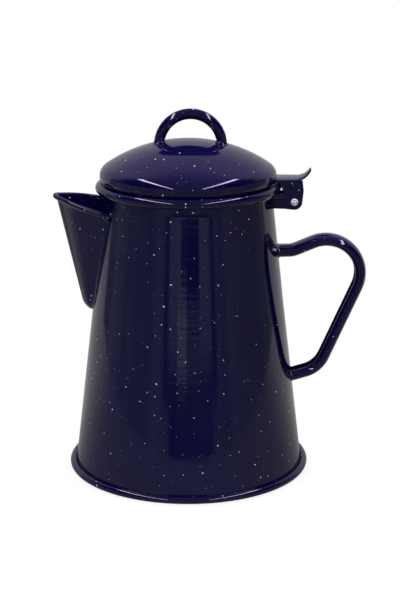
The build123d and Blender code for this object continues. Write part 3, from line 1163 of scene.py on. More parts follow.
@dataclass
class Handle:
    """Strip with both edges rolled in, open towards the fingers, bent and welded on the wall."""

    width: float = 14.5
    depth: float = 7.0
    rolled: float = 58.0
    crowning: float = 0.85
    sheet: float = 1.0
    top_z: float = 129.9
    top_out: float = 8.0
    crown_z: float = 154.1
    crown_out: float = 68.9
    heel_z: float = 59.0
    heel_out: float = 16.6
    low_z: float = 50.5
    bends: Place = (15.0, 20.0, 17.0)
    weld: float = 1.5
    weld_sink: float = 0.35
    weld_rounds: int = 8
    weld_room: Point = (1.6, 0.6)
    longest_step: float = 3.0
    section_steps: int = 26
    crease: float = 50.0

    def section(self) -> Loop:
        """Outline of the strip's section: across is the width, up is away from the fingers.

        Returns:
            The closed outline.
        """
        half_w = (self.width - self.sheet) / 2
        half_h = (self.depth - self.sheet) / 2
        line = []
        for u, v in arc((0.0, 0.0), 1.0, -self.rolled, 180 + self.rolled,
                        (180 + 2 * self.rolled) / self.section_steps):
            line.append((half_w * math.copysign(abs(u) ** self.crowning, u), half_h * v))
        return sheet_outline(line, self.sheet)

    def path(self, body: PotBody) -> Loop:
        """Middle line of the handle as (x, z), from the upper weld to the lower one.

        Args:
            body: The pot body.

        Returns:
            The points.
        """
        corners = [
            (body.wall_r(self.top_z) - body.sheet, self.top_z),
            (body.wall_r(self.top_z) + self.top_out, self.top_z),
            (body.wall_r(self.crown_z) + self.crown_out, self.crown_z),
            (body.wall_r(self.heel_z) + self.heel_out, self.heel_z),
            (body.neck_r - body.sheet, self.low_z),
        ]
        line = rounded(corners, self.bends, 3)[:-1]
        end = Vector(line[-1])
        tail = (Vector(corners[-1]) - end).normalized()
        line.append(tuple(end + tail * ((end.x - body.wall_r(end.y)) / -tail.x)))
        fine = [line[0]]
        for a, b in zip(line, line[1:]):
            steps = max(1, math.ceil((Vector(b) - Vector(a)).length / self.longest_step))
            fine += [tuple(Vector(a).lerp(Vector(b), i / steps)) for i in range(1, steps + 1)]
        return fine

    def ring(self, at: Point, along: Vector, grow: float = 0.0) -> list[Vector]:
        """The section set across the path.

        Args:
            at: Place on the path.
            along: Direction of the path there.
            grow: How far the section is widened all round.

        Returns:
            Its points.
        """
        away = Vector((-along.y, along.x))
        wide = 1 + 2 * grow / self.width
        deep = 1 + 2 * grow / self.depth
        return [
            Vector((at[0] + away.x * v * deep, u * wide, at[1] + away.y * v * deep))
            for u, v in self.section()
        ]

    def foot(self, at: Point, along: Vector, body: PotBody) -> list[list[Vector]]:
        """Rings of a weld, whose points are slid along the path to their distance off the wall.

        Args:
            at: End of the path.
            along: Direction of the path there.
            body: The pot body.

        Returns:
            The rings, from the top of the fillet into the wall.
        """
        rings = []
        for off, grow in weld_rings(self.weld, self.weld_sink):
            ring = self.ring(at, along, grow)
            for point in ring:
                for _ in range(self.weld_rounds):
                    gap = math.hypot(point.x, point.y) - body.wall_r(point.z) - off
                    point -= Vector((along.x, 0, along.y)) * gap / along.x
            rings.append(ring)
        return rings

    def build(self, dresser: Dresser, body: PotBody) -> None:
        """Makes and finishes the handle, flared into a fillet at both welds.

        Args:
            dresser: Gives the pieces their finish.
            body: The pot body.
        """
        path = self.path(body)
        ways = directions(path)
        clear = self.weld_room[0] * self.weld + self.weld_room[1] * self.depth
        free = [
            self.ring(p, way) for p, way in zip(path, ways) if p[0] - body.wall_r(p[1]) > clear
        ]
        first, last = (self.foot(path[end], ways[end], body) for end in (0, -1))
        piece = lofted("rolled_handle", first[::-1] + free + last, self.crease)
        dresser.stand_in(piece, "handle", "pot", Finish.ENAMEL)


# --- lid
@dataclass
class Lid:
    """Domed lid with a tight shoulder, an edge turned in under it, and a ring to lift it by."""

    sheet: float = 1.0
    rise: float = 4.0
    shoulder: float = 6.9
    crown: float = 85.5
    turn: float = 25.0
    edge_bend: float = 0.8
    lip_bend: float = 1.5
    lip_clearance: float = 1.6
    lip_depth: float = 3.0
    seat_gap: float = 0.3
    loop_rod: float = 6.1
    loop_bend_r: float = 17.9
    loop_x: float = 1.4
    loop_foot: float = 6.0
    loop_weld: float = 1.8
    loop_sink: float = 0.4
    loop_free: tuple[int, int, int] = (14, 167, 4)
    weld_rounds: int = 6
    rod_steps: int = 36
    loop_crease: float = 60.0

    @property
    def r(self) -> float:
        """Largest radius of the lid."""
        return high("lid_shell").x

    @property
    def centre_z(self) -> float:
        """Height of the middle of the crown's sphere."""
        return high("lid_shell").z - self.crown

    def shoulder_mid(self, body: PotBody) -> Point:
        """Middle of the shoulder's arc."""
        return self.r - self.shoulder, body.rim_top_z + self.rise

    def dome_line(self, inset: float, body: PotBody) -> Loop:
        """Crown and shoulder, from the axis outwards, drawn in by an inset.

        Args:
            inset: How far the line lies inside the outer face.
            body: The pot body.

        Returns:
            The points.
        """
        corner = self.shoulder_mid(body)
        join = math.degrees(math.atan2(corner[1] - self.centre_z, corner[0]))
        line = arc((0, self.centre_z), self.crown - inset, 90, join, 1.2)
        line[0] = (0.0, line[0][1])
        return line + arc(corner, self.shoulder - inset, join, -self.turn, 5)[1:]

    def shell(self, body: PotBody) -> Piece:
        """The lid's sheet.

        Args:
            body: The pot body.

        Returns:
            The piece.
        """
        half = self.sheet / 2
        edge = polar(self.shoulder_mid(body), self.shoulder - half, -self.turn)
        flange_z = body.rim_top_z + self.seat_gap + half
        lip_r = body.neck_r - body.sheet - self.lip_clearance - half
        turned_in = rounded(
            [
                edge,
                (edge[0] - (edge[1] - flange_z) * math.tan(math.radians(self.turn)), flange_z),
                (lip_r, flange_z),
                (lip_r, flange_z - self.lip_depth),
            ],
            [self.edge_bend, self.lip_bend], 15,
        )
        line = self.dome_line(half, body) + turned_in[1:]
        return turned("domed_lid", sheet_outline(line, self.sheet, True), ROUND_STEPS)

    def envelope(self, inset: float, body: PotBody) -> Piece:
        """Solid of all that lies in and straight below the lid, to cut what is welded on it."""
        line = self.dome_line(inset, body)
        return turned("lid_envelope", line + [(line[-1][0], 0.0), (0.0, 0.0)], ROUND_STEPS // 2)

    def loop(self) -> Piece:
        """Half ring of round rod, with a fillet of enamel where it meets the crown.

        Returns:
            The piece.
        """
        rod = self.loop_rod / 2
        mid = Vector((self.loop_x, 0.0, high("lid_loop").z - rod - self.loop_bend_r))
        centre = Vector((0, 0, self.centre_z))

        def ring(degrees: float, grow: float = 0.0) -> list[Vector]:
            """Section of the rod at an angle round the loop, widened all round.

            Args:
                degrees: The angle, from the side of the hinge.
                grow: How far the section is widened.

            Returns:
                The points.
            """
            turn = math.radians(degrees)
            out = Vector((math.cos(turn), 0, math.sin(turn)))
            at = mid + out * self.loop_bend_r
            circle = arc((0.0, 0.0), rod + grow, 0, 360, 360 / self.rod_steps)[:-1]
            return [at + out * u + Vector((0, v, 0)) for u, v in circle]

        def foot(degrees: float) -> list[list[Vector]]:
            """Rings of the weld at an angle, lowered to their distance off the crown.

            Args:
                degrees: The angle.

            Returns:
                The rings, from the top of the fillet into the crown.
            """
            rings = []
            for off, grow in weld_rings(self.loop_weld, self.loop_sink):
                points = ring(degrees, grow)
                for point in points:
                    for _ in range(self.weld_rounds):
                        point.z -= (point - centre).length - self.crown - off
                rings.append(points)
            return rings

        rows = foot(self.loop_foot)[::-1] + [ring(angle) for angle in range(*self.loop_free)]
        rows += foot(180 - self.loop_foot)
        return lofted("lid_lifting_loop", rows, self.loop_crease)

    def build(self, dresser: Dresser, body: PotBody) -> None:
        """Makes and finishes the lid and its loop."""
        dresser.stand_in(self.shell(body), "lid_shell", "lid", Finish.ENAMEL)
        dresser.stand_in(self.loop(), "lid_loop", "lid", Finish.ENAMEL)


# --- hinge
@dataclass
class LidHinge:
    """Folded bracket on the neck, channel-shaped leaf with a thumb tab on the lid, and a rivet."""

    sheet: float = 1.2
    ear_r: float = 4.5
    ear_fall: float = 0.4
    bracket_w: float = 12.8
    bracket_sink: float = 0.6
    side_gap: float = 0.2
    rivet_d: float = 3.2
    head_d: float = 4.3
    head_t: float = 1.1
    head_edge: float = 0.25
    head_side: float = 0.6
    head_sink: float = 0.05
    leaf_drop: float = 1.4
    leaf_sink: float = 0.4
    band_w: float = 16.8
    band_h: float = 5.0
    band_clear: float = 0.9
    band_off_rim: float = -0.2
    cheek_back: float = 6.6
    cheek_heel: Point = (6.1, 3.9)
    cheek_front: float = 5.2
    cheek_bulge: float = 6.5
    tab_start: float = 0.6
    tab_bend_r: float = 10.0
    tab_angle: float = 62.0
    tab_tip_w: float = 6.0
    tab_tip_bend: float = 2.0
    soft_edge: float = 0.35
    steps: int = 48

    def bracket(self, body: PotBody) -> Piece:
        """Two ears and the web between them, folded from one strip.

        Args:
            body: The pot body.

        Returns:
            The piece.
        """
        x, z = hinge_pin()
        root = body.neck_r - self.bracket_sink * body.sheet
        side_h = self.ear_r - self.ear_fall
        side = hull(arc((x, z), self.ear_r, -100, 100) + [(root, z - side_h), (root, z + side_h)])
        piece = slab("hinge_bracket_folded", side, -self.bracket_w / 2, self.bracket_w / 2)
        inside = self.bracket_w / 2 - self.sheet
        web_x, past = body.neck_r + self.sheet, 2 * self.ear_r
        room = [(web_x, z - past), (x + past, z - past), (x + past, z + past), (web_x, z + past)]
        combine(piece, slab("slot", room, -inside, inside), Joining.CUT)
        soften(piece, self.soft_edge)
        return piece

    def tongue(self, root: float, mid_z: float) -> Piece:
        """Top plate of the leaf, which bends up and narrows to the thumb tab.

        Args:
            root: Where the plate starts inside the lid.
            mid_z: Height of the middle of its sheet.

        Returns:
            The plate.
        """
        tab_x = hinge_pin()[0] + self.tab_start
        half_w = self.band_w / 2
        line = [(root, mid_z)]
        line += arc((tab_x, mid_z + self.tab_bend_r), self.tab_bend_r, -90, self.tab_angle - 90, 5)
        plate = slab("hinge_leaf_with_tab", sheet_outline(line, self.sheet), -half_w, half_w)
        tip_x = tab_x + self.tab_bend_r * math.sin(math.radians(self.tab_angle)) + self.sheet / 4
        bend = self.tab_tip_bend
        corner = (tip_x - bend, self.tab_tip_w / 2 - bend)
        half = [(root - 1, half_w), (tab_x, half_w)] + arc(corner, bend, 0, 90, 15)
        plan = hull(half + [(x, -y) for x, y in half])
        tall = (hinge_pin()[1], mid_z + 2 * self.tab_bend_r)
        combine(plate, slab("plan", plan, *tall, level=True), Joining.COMMON)
        return plate

    def leaf(self, body: PotBody, lid: Lid) -> Piece:
        """The tongue, two bands along its sides and two cheeks down to the pin.

        Args:
            body: The pot body.
            lid: The lid.

        Returns:
            The piece.
        """
        x, z = hinge_pin()
        root = lid.r - lid.shoulder
        top = body.rim_top_z + lid.rise - self.leaf_drop
        mid_z = top - self.sheet / 2
        leaf = self.tongue(root, mid_z)
        gap = self.bracket_w / 2 + self.side_gap
        low_z = top - self.band_h
        clear_z = body.rim_top_z + self.band_clear
        front = x + self.ear_r
        band = [
            (root, mid_z), (root, clear_z), (body.rim_r - self.band_clear, clear_z),
            (body.rim_r + self.band_off_rim, low_z), (front, low_z), (front, mid_z),
        ]
        cheek = hull(arc((x, z), self.ear_r, 0, 350, 8) + [
            (x - self.cheek_heel[0], z - self.cheek_heel[1]), (x - self.cheek_back, mid_z),
            (front, mid_z), (x + self.cheek_front, z + self.cheek_bulge),
        ])
        for side in (-1, 1):
            for outline, far in ((band, self.band_w / 2), (cheek, gap + self.sheet)):
                near_y, far_y = sorted((side * gap, side * far))
                combine(leaf, slab("side", outline, near_y, far_y), Joining.ADD)
        combine(leaf, lid.envelope(self.leaf_sink, body), Joining.CUT)
        soften(leaf, self.soft_edge)
        return leaf

    def rivet(self) -> Piece:
        """Rivet across the hinge, with a low domed head on each side.

        Returns:
            The piece.
        """
        x, z = hinge_pin()
        base = self.bracket_w / 2 + self.side_gap + self.sheet
        head = self.head_d / 2
        edge = self.head_edge * self.head_t
        dome_h = self.head_t - edge
        dome_r = (head**2 + dome_h**2) / (2 * dome_h)
        reach = math.degrees(math.asin(head / dome_r))
        top = base + self.head_t
        low_z = base - self.head_sink
        dome = arc((0, top - dome_r), dome_r, 90 - reach, 90, 5)[:-1] + [(0.0, top)]
        side_z = base + edge * self.head_side
        upper = [(self.rivet_d / 2, low_z), (head, low_z), (head, side_z)] + dome
        lower = [(r, -h) for r, h in reversed(upper)]
        piece = turned("hinge_rivet_set", lower + upper, self.steps)
        across = Matrix.Rotation(math.pi / 2, 4, "X")
        piece.data.transform(Matrix.Translation((x * MM, 0, z * MM)) @ across)
        return piece

    def build(self, dresser: Dresser, body: PotBody, lid: Lid) -> None:
        """Makes and finishes the bracket, the leaf and the rivet.

        Args:
            dresser: Gives the pieces their finish.
            body: The pot body.
            lid: The lid.
        """
        dresser.stand_in(self.bracket(body), "hinge_bracket", "pot", Finish.ENAMEL)
        dresser.stand_in(self.leaf(body, lid), "hinge_leaf", "lid", Finish.ENAMEL)
        dresser.stand_in(self.rivet(), "hinge_rivet", "lid", Finish.RIVET)


# --- insert
@dataclass
class Insert:
    """Pump tube on a bell, and the basket with its sleeve and spreader, of thin aluminium."""

    sheet: float = 0.8
    tube_d: float = 8.0
    tube_bore: float = 6.8
    broken_edge: float = 0.15
    well_rim_w: float = 3.0
    well_h: float = 15.0
    well_collar_h: float = 7.0
    well_bends: Place = (1.2, 2.5, 1.6)
    notch_w: float = 6.0
    notch_h: float = 2.2
    notches: int = 6
    stop_chamfer: float = 0.6
    basket_bends: Point = (5.0, 1.0)
    basket_rim: float = 2.6
    sleeve_gap: float = 0.3
    spreader_hole_gap: float = 0.6
    spreader_bends: Point = (1.0, 1.4)
    hole_d: float = 3.0
    hole_rings: tuple[int, ...] = (2, 3)
    hole_spacing: float = 8.5
    steps: int = 144
    tube_steps: int = 72

    def tube(self, name: str, node: str, bore: float) -> Piece:
        """A plain tube of a node's height and diameter, its edges broken.

        Args:
            name: Of the object.
            node: The node that it stands for.
            bore: Its inner diameter.

        Returns:
            The piece.
        """
        low_z, high_z = low(node).z, high(node).z
        outer, inner, cut = high(node).x, bore / 2, self.broken_edge
        outline = [
            (inner, low_z + cut), (inner + cut, low_z), (outer - cut, low_z), (outer, low_z + cut),
            (outer, high_z - cut), (outer - cut, high_z), (inner + cut, high_z),
            (inner, high_z - cut),
        ]
        return turned(name, outline, self.tube_steps)

    def formed(self, name: str, corners: Sequence[Point], bends: Sequence[float]) -> Piece:
        """Sheet turned from a line through corners, each bent to its radius."""
        outline = sheet_outline(rounded(corners, bends), self.sheet)
        return turned(name, outline, self.steps)

    def well(self) -> Piece:
        """Bell that stands on the bottom, notched at its rim.

        Returns:
            The piece.
        """
        half = self.sheet / 2
        foot_z, rim_r = low("pump_well").z, high("pump_well").y
        collar_r = self.tube_d / 2 + half
        bell = self.formed(
            "pump_bell_notched",
            [
                (rim_r - half, foot_z + half),
                (rim_r - self.well_rim_w, foot_z + half),
                (rim_r - 2 * self.well_rim_w, foot_z + self.notch_h + self.sheet),
                (collar_r, foot_z + self.well_h - half),
                (collar_r, foot_z + self.well_h + self.well_collar_h),
            ],
            self.well_bends,
        )
        cutter = bmesh.new()
        size = Matrix.Diagonal((6 * self.well_rim_w, self.notch_w, 2 * self.notch_h, 1))
        for i in range(self.notches):
            turn = Matrix.Rotation(2 * math.pi * i / self.notches, 4, "Z")
            place = turn @ Matrix.Translation((rim_r, 0, foot_z)) @ size
            bmesh.ops.create_cube(cutter, matrix=place)
        pierce(bell, cutter)
        return bell

    def stop(self) -> Piece:
        """Ring crimped on the tube under the basket.

        Returns:
            The piece.
        """
        (_, _, low_z), (r, _, high_z) = box_of("basket_stop")
        bore, cut = self.tube_d / 2, self.stop_chamfer
        outline = [
            (bore, low_z), (r - cut, low_z), (r, low_z + cut),
            (r, high_z - cut), (r - cut, high_z), (bore, high_z),
        ]
        ring = turned("basket_stop_ring", outline, self.tube_steps)
        soften(ring, self.broken_edge)
        return ring

    def perforate(self, plate: Piece, z: float) -> None:
        """Cuts the rings of strainer holes into a plate at a height.

        Args:
            plate: A level plate.
            z: Height of the middle of its sheet.
        """
        cutter = bmesh.new()
        for ring in self.hole_rings:
            count = int(2 * math.pi * ring)
            for i in range(count):
                x, y = polar((0.0, 0.0), ring * self.hole_spacing, 360 * i / count)
                add_bore(cutter, Matrix.Translation((x, y, z)), self.hole_d, 5 * self.sheet)
        pierce(plate, cutter)

    def cup(self) -> Piece:
        """Basket with a perforated bottom and a turned-out rim.

        Returns:
            The piece.
        """
        half = self.sheet / 2
        low_z, high_z = low("basket_cup").z + half, high("basket_cup").z - half
        side_r = high("basket_cup").x - self.basket_rim - half
        sleeve_r = self.tube_d / 2 + self.sleeve_gap + self.sheet
        line = [
            (sleeve_r + half, low_z), (side_r, low_z), (side_r, high_z),
            (side_r + self.basket_rim, high_z),
        ]
        cup = self.formed("coffee_basket", line, self.basket_bends)
        self.perforate(cup, low_z)
        return cup

    def spreader(self) -> Piece:
        """Perforated cover with an upturned collar and a skirt.

        Returns:
            The piece.
        """
        half = self.sheet / 2
        rest_z = high("basket_cup").z + half
        skirt_r = high("spreader_plate").x - half
        hole_r = self.tube_d / 2 + self.spreader_hole_gap + half
        line = [
            (hole_r, high("spreader_plate").z - half), (hole_r, rest_z), (skirt_r, rest_z),
            (skirt_r, low("spreader_plate").z + half),
        ]
        cover = self.formed("water_spreader", line, self.spreader_bends)
        self.perforate(cover, rest_z)
        return cover

    def build(self, dresser: Dresser) -> None:
        """Makes and finishes the six pieces of the insert.

        Args:
            dresser: Gives the pieces their finish.
        """
        sleeve_bore = self.tube_d + 2 * self.sleeve_gap
        pieces = (
            (self.tube("pump_tube_bare", "pump_tube", self.tube_bore), "pump_tube", "pump"),
            (self.well(), "pump_well", "pump"),
            (self.stop(), "basket_stop", "pump"),
            (self.cup(), "basket_cup", "basket"),
            (self.tube("basket_sleeve_tube", "basket_sleeve", sleeve_bore), "basket_sleeve",
             "basket"),
            (self.spreader(), "spreader_plate", "spreader"),
        )
        for piece, node, body in pieces:
            dresser.stand_in(piece, node, body, Finish.ALUMINIUM)


# --- studio
class Measure(Enum):
    """What a soft edge in the studio is measured on, for a direction seen from the pot."""

    BACK = "its part towards the back"
    UP = "its part upwards"
    RUN = "where it meets the ceiling, from the front to the back"
    INSIDE = "how far inside the ceiling's panel it meets the ceiling"
    OFF_EDGE = "how far from the panel's edge"
    CHANGE = "a slow change without order"
    ACROSS = "how far from a shape's middle, in half widths"
    ALONG = "how far from it in half heights"
    AWAY = "how far from it in all"


@dataclass(frozen=True)
class Zone:
    """Part of the studio with soft edges, each from a value with no light to one with all of it."""

    level: float
    edges: tuple[tuple[Measure, float, float], ...]

    def light(self, tree: Tree, measures: dict[Measure, Node | Socket]) -> Node:
        """Light of the zone.

        Args:
            tree: Where the nodes go.
            measures: Value of each measure that the edges name.

        Returns:
            Node that gives the level inside the edges and 0 outside.
        """
        light = self.level
        for measure, start, end in self.edges:
            edge = add(
                tree, "MapRange", {"Value": measures[measure], "From Min": start, "From Max": end},
                interpolation_type="SMOOTHSTEP",
            )
            light = add(tree, "Math", {0: edge, 1: light}, operation="MULTIPLY")
        return light


@dataclass(frozen=True)
class RoomShape:
    """Something upright in the studio that the gloss of the pot shows with soft edges.

    Its place and size are parts of a unit direction: across to the right, and up.
    """

    across: float
    up: float
    half_width: float
    half_height: float
    level: float
    behind: bool = False
    round_edge: float = 0.9
    side_edge: float = 0.8
    end_edge: float = 0.65
    fade: float = 0.1

    def cover(self, tree: Tree, way: Socket, back: Socket) -> Node:
        """Mask of the shape: round behind the pot, and upright with corners in front of it.

        Args:
            tree: Where the nodes go.
            way: Direction.
            back: Its part towards the back.

        Returns:
            Node that gives 1 on the shape and 0 off it.
        """
        middle = (self.across, 0.0, self.up)
        size = (1 / self.half_width, 0.0, 1 / self.half_height)
        place = add(tree, "VectorMath", {0: way, 1: middle}, operation="SUBTRACT")
        place = add(tree, "VectorMath", {0: place, 1: size}, operation="MULTIPLY")
        if self.behind:
            away = add(tree, "VectorMath", {0: place}, operation="LENGTH").outputs["Value"]
            measures = {Measure.AWAY: away, Measure.BACK: back}
            edges = ((Measure.AWAY, 1.0, self.round_edge), (Measure.BACK, 0.0, self.fade))
        else:
            off = add(tree, "VectorMath", {0: place}, operation="ABSOLUTE")
            off = add(tree, "SeparateXYZ", {0: off}).outputs
            measures = {Measure.ACROSS: off["X"], Measure.ALONG: off["Z"], Measure.BACK: back}
            edges = (
                (Measure.ACROSS, 1.0, self.side_edge), (Measure.ALONG, 1.0, self.end_edge),
                (Measure.BACK, 0.0, -self.fade),
            )
        return Zone(1.0, edges).light(tree, measures)


@dataclass(frozen=True)
class SoftBox:
    """Rectangular lamp aimed at the middle of the pot, which the gloss doesn't show."""

    name: str
    place: Place
    size: Point
    watts: float
    aim: Place = (0.0, 0.0, 90.0)

    def build(self) -> None:
        """Hangs the lamp."""
        data = bpy.data.lights.new(self.name, "AREA")
        data.shape = "RECTANGLE"
        data.size, data.size_y = self.size[0] * MM, self.size[1] * MM
        data.energy = self.watts
        lamp = bpy.data.objects.new(self.name, data)
        lamp.location = Vector(self.place) * MM
        aim = Vector(self.aim) * MM - lamp.location
        lamp.rotation_euler = aim.to_track_quat("-Z", "Y").to_euler()
        lamp.visible_glossy = False
        bpy.context.scene.collection.objects.link(lamp)


@dataclass
class Studio:
    """White table and backdrop, soft light overhead, and a dim room in front.

    The ceiling in front is a long panel between two bright strips that splay forwards.
    """

    camera_place: Place = (6.8, -887.0, 345.0)
    camera_pitch: float = 15.45
    camera_lens: float = 94.0
    camera_sensor: float = 36.0
    camera_reach: float = 50.0
    table_r: float = 540.0
    table_y: float = 270.0
    table_steps: int = 96
    table_colour: str = "#f4f4f4"
    bounce_colour: str = "#8c8c8c"
    shadow_share: float = 0.20
    shadow_reach: Point = (68.0, 78.0)
    # Painted glow of the table as the gloss shows it, from the front to the back, and where that
    # glow runs.
    painted_gleam: Point = (0.26, 0.5)
    painted_gleam_run: Point = (-20.0, 120.0)
    room: float = 0.04
    sky: float = 0.75
    room_tint: str = "#f8fbff"
    ceiling_tint: str = "#f6e8ff"
    ceiling_rise: Point = (0.25, 0.60)
    change_scale: float = 2.2
    lowest_ceiling: float = 0.05
    panel_half: float = 0.66
    panel_splay: float = 0.15
    # Light that falls on the pot: from the backdrop and from overhead.
    falling: tuple[Zone, ...] = (
        Zone(1.0, ((Measure.BACK, 0.25, 0.62), (Measure.UP, 0.50, 0.42))),
        Zone(1.0, ((Measure.UP, 0.62, 0.74),)),
    )
    # What the gloss shows of the room: its dim walls and their slow changes.
    walls: tuple[Zone, ...] = (
        Zone(0.15, ((Measure.BACK, 0.50, 0.45), (Measure.UP, 0.30, 0.10))),
        Zone(0.12, ((Measure.CHANGE, 0.35, 0.65), (Measure.BACK, 0.50, 0.45),
                    (Measure.UP, 0.30, 0.10))),
    )
    # The backdrop, the ceiling over it, its panel in front, and the two strips.
    lights: tuple[Zone, ...] = (
        Zone(0.5, ((Measure.BACK, 0.45, 0.52), (Measure.UP, 0.60, 0.40))),
        Zone(0.5, ((Measure.BACK, 0.05, 0.50), (Measure.UP, 0.20, 0.35))),
        Zone(0.18, ((Measure.INSIDE, -0.02, 0.02), (Measure.RUN, -3.8, -3.4),
                    (Measure.UP, 0.20, 0.35))),
        Zone(18.0, ((Measure.OFF_EDGE, 0.08, 0.04), (Measure.RUN, 0.36, 0.26),
                    (Measure.RUN, -3.6, -3.2), (Measure.UP, 0.20, 0.30))),
    )
    shapes: tuple[RoomShape, ...] = (
        RoomShape(0.0, 0.60, 0.19, 0.14, 0.0, behind=True),
        RoomShape(0.03, -0.035, 0.56, 0.075, 0.04),
        RoomShape(0.03, -0.020, 0.47, 0.066, 0.34),
        RoomShape(0.04, -0.032, 0.22, 0.027, 0.0),
        RoomShape(-0.12, -0.063, 0.10, 0.018, 0.7),
        RoomShape(0.05, -0.124, 0.42, 0.030, 0.04),
    )
    lamps: tuple[SoftBox, ...] = (
        SoftBox("overhead", (0.0, 150.0, 1300.0), (900.0, 700.0), 14.0),
        SoftBox("front", (-250.0, -1300.0, 520.0), (900.0, 700.0), 9.0),
    )

    def camera(self) -> None:
        """Camera a little above the lid, with a long lens."""
        data = bpy.data.cameras.new("camera")
        data.lens = self.camera_lens
        data.sensor_width = self.camera_sensor
        data.sensor_fit = "AUTO"
        data.clip_end = self.camera_reach
        camera = bpy.data.objects.new("camera", data)
        camera.location = Vector(self.camera_place) * MM
        camera.rotation_euler = (math.radians(90 - self.camera_pitch), 0.0, 0.0)
        bpy.context.scene.collection.objects.link(camera)
        bpy.context.scene.camera = camera

    def laminate(self) -> bpy.types.Material:
        """White laminate, matt and even, with the pot's soft shadow close to the foot.

        Returns:
            The material.
        """
        material, tree = new_material("white_laminate_table")
        rays = add(tree, "LightPath").outputs
        # What the table throws back on the pot is dimmer than what the eye sees of it.
        paint = add(
            tree, "Mix",
            {"Factor": rays["Is Camera Ray"], 6: srgb(self.bounce_colour),
             7: srgb(self.table_colour)},
            data_type="RGBA",
        )
        diffuse = add(tree, "BsdfDiffuse", {"Color": paint.outputs[2]})
        # Only the ring of table close to the foot darkens with the pot's shadow.
        place = add(tree, "TexCoord").outputs["Object"]
        away = add(tree, "VectorMath", {0: place}, operation="LENGTH").outputs["Value"]
        clear = add(
            tree, "MapRange",
            {"Value": away, "From Min": self.shadow_reach[0] * MM,
             "From Max": self.shadow_reach[1] * MM, "To Min": 1 - self.shadow_share},
            interpolation_type="SMOOTHSTEP",
        )
        seen = add(tree, "Math", {0: rays["Is Camera Ray"], 1: clear}, operation="MULTIPLY")
        mirrored = add(
            tree, "Math", {0: rays["Is Glossy Ray"], 1: rays["Is Transmission Ray"]},
            operation="MAXIMUM",
        )
        share = add(tree, "Math", {0: mirrored, 1: seen}, operation="MAXIMUM")
        # Painted light: in the gloss the table glows brighter behind the pot than in front, a
        # painted stand-in for the light the backdrop throws on it.
        depth = add(tree, "SeparateXYZ", {0: place}).outputs["Y"]
        painted_gleam = add(
            tree, "MapRange",
            {"Value": depth, "From Min": self.painted_gleam_run[0] * MM,
             "From Max": self.painted_gleam_run[1] * MM, "To Min": self.painted_gleam[0], "To Max": self.painted_gleam[1]},
        )
        level = add(tree, "Mix", {"Factor": mirrored, 2: 1.0, 3: painted_gleam})
        glow = add(tree, "Emission", {"Color": (1, 1, 1, 1), "Strength": level})
        surface = add(tree, "MixShader", {0: share, 1: diffuse, 2: glow})
        add(tree, "OutputMaterial", {"Surface": surface})
        return material

    def table(self) -> None:
        """Round pale table top."""
        mesh = bmesh.new()
        place = Matrix.Translation(Vector((0, self.table_y, 0)) * MM)
        bmesh.ops.create_circle(
            mesh, cap_ends=True, segments=self.table_steps, radius=self.table_r * MM, matrix=place
        )
        data = bpy.data.meshes.new("table")
        mesh.to_mesh(data)
        mesh.free()
        table = bpy.data.objects.new("table", data)
        bpy.context.scene.collection.objects.link(table)
        data.materials.append(self.laminate())

    def measures(self, tree: Tree, way: Socket) -> dict[Measure, Node | Socket]:
        """What the edges of the zones are measured on.

        Args:
            tree: Where the nodes go.
            way: Direction.

        Returns:
            Value of each measure.
        """
        parts = add(tree, "SeparateXYZ", {0: way}).outputs
        upright = add(tree, "Mapping", {"Vector": way, "Scale": (1.0, 1.0, 0.5)})
        change = add(
            tree, "TexNoise", {"Vector": upright, "Scale": self.change_scale, "Detail": 1.0}
        )
        rise = add(tree, "Math", {0: parts["Z"], 1: self.lowest_ceiling}, operation="MAXIMUM")
        run = add(tree, "Math", {0: parts["Y"], 1: rise}, operation="DIVIDE")
        side = add(tree, "Math", {0: parts["X"]}, operation="ABSOLUTE")
        out = add(tree, "Math", {0: side, 1: rise}, operation="DIVIDE")
        half = {0: run, 1: -self.panel_splay, 2: self.panel_half}
        edge = add(tree, "Math", half, operation="MULTIPLY_ADD")
        inside = add(tree, "Math", {0: edge, 1: out}, operation="SUBTRACT")
        off_edge = add(tree, "Math", {0: inside}, operation="ABSOLUTE")
        return {
            Measure.BACK: parts["Y"], Measure.UP: parts["Z"], Measure.RUN: run,
            Measure.INSIDE: inside, Measure.OFF_EDGE: off_edge, Measure.CHANGE: change,
        }

    def world(self) -> None:
        """The studio round the table, which camera rays see as plain white."""
        world = bpy.data.worlds.new("studio_room")
        bpy.context.scene.world = world
        world.use_nodes = True
        tree = world.node_tree
        tree.nodes.clear()
        way = add(tree, "TexCoord").outputs["Generated"]
        measures = self.measures(tree, way)

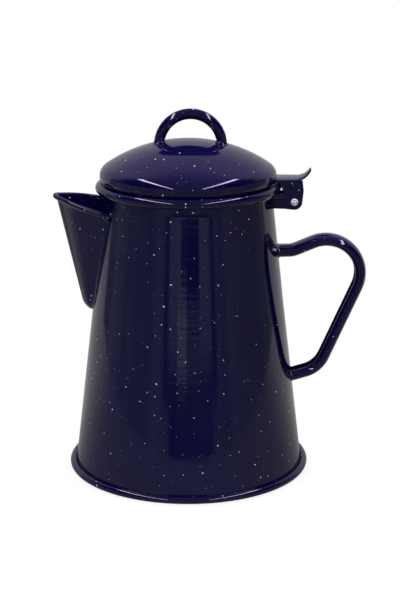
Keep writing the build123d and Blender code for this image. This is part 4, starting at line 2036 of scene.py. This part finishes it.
        def joined(zones: Iterable[Zone], how: str, level: float | Node = 0.0) -> Node:
            """Light of several zones, joined one by one by a math operation.

            Args:
                zones: The zones.
                how: The math operation.
                level: The light that they are joined to.

            Returns:
                The light of them all.
            """
            for zone in zones:
                light = {0: zone.light(tree, measures), 1: level}
                level = add(tree, "Math", light, operation=how)
            return level

        falling = add(
            tree, "MapRange",
            {"Value": joined(self.falling, "MAXIMUM"), "To Min": self.room, "To Max": self.sky},
        )
        level = joined(self.lights, "MAXIMUM", joined(self.walls, "ADD"))
        for shape in self.shapes:
            cover = shape.cover(tree, way, measures[Measure.BACK])
            level = add(tree, "Mix", {"Factor": cover, 2: level, 3: shape.level})
        rays = add(tree, "LightPath").outputs
        mirrored = add(
            tree, "Math", {0: rays["Is Glossy Ray"], 1: rays["Is Transmission Ray"]},
            operation="MAXIMUM",
        )
        level = add(tree, "Mix", {"Factor": mirrored, 2: falling, 3: level})
        level = add(tree, "Mix", {"Factor": rays["Is Camera Ray"], 2: level, 3: 1.0})
        # The ceiling is a little warmer than the room.
        high_up = Zone(1.0, ((Measure.UP, *self.ceiling_rise),)).light(tree, measures)
        above = add(tree, "Math", {0: mirrored, 1: high_up}, operation="MULTIPLY")
        below = add(tree, "Math", {0: mirrored, 1: above}, operation="SUBTRACT")
        tint = (1, 1, 1, 1)
        for share, code in ((above, self.ceiling_tint), (below, self.room_tint)):
            shade = {"Factor": share, 6: tint, 7: srgb(code)}
            tint = add(tree, "Mix", shade, data_type="RGBA").outputs[2]
        room = add(tree, "Background", {"Color": tint, "Strength": level})
        add(tree, "OutputWorld", {"Surface": room})

    def build(self) -> None:
        """Sets up the camera, the table, the room and the lamps."""
        bpy.context.scene.view_settings.view_transform = "Standard"
        self.camera()
        self.table()
        self.world()
        for lamp in self.lamps:
            lamp.build()


def main() -> None:
    """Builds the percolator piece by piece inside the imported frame, then the studio."""
    logging.basicConfig(level=logging.INFO, format="%(name)s: %(message)s")
    dresser = Dresser()
    body, spout, lid = PotBody(), Spout(), Lid()
    body.build(dresser, spout)
    spout.build(dresser, body)
    Handle().build(dresser, body)
    lid.build(dresser, body)
    LidHinge().build(dresser, body, lid)
    Insert().build(dresser)
    Studio().build()
    log.info("finished %d pieces", len(frame["nodes"]))


if __name__ == "__main__":
    main()
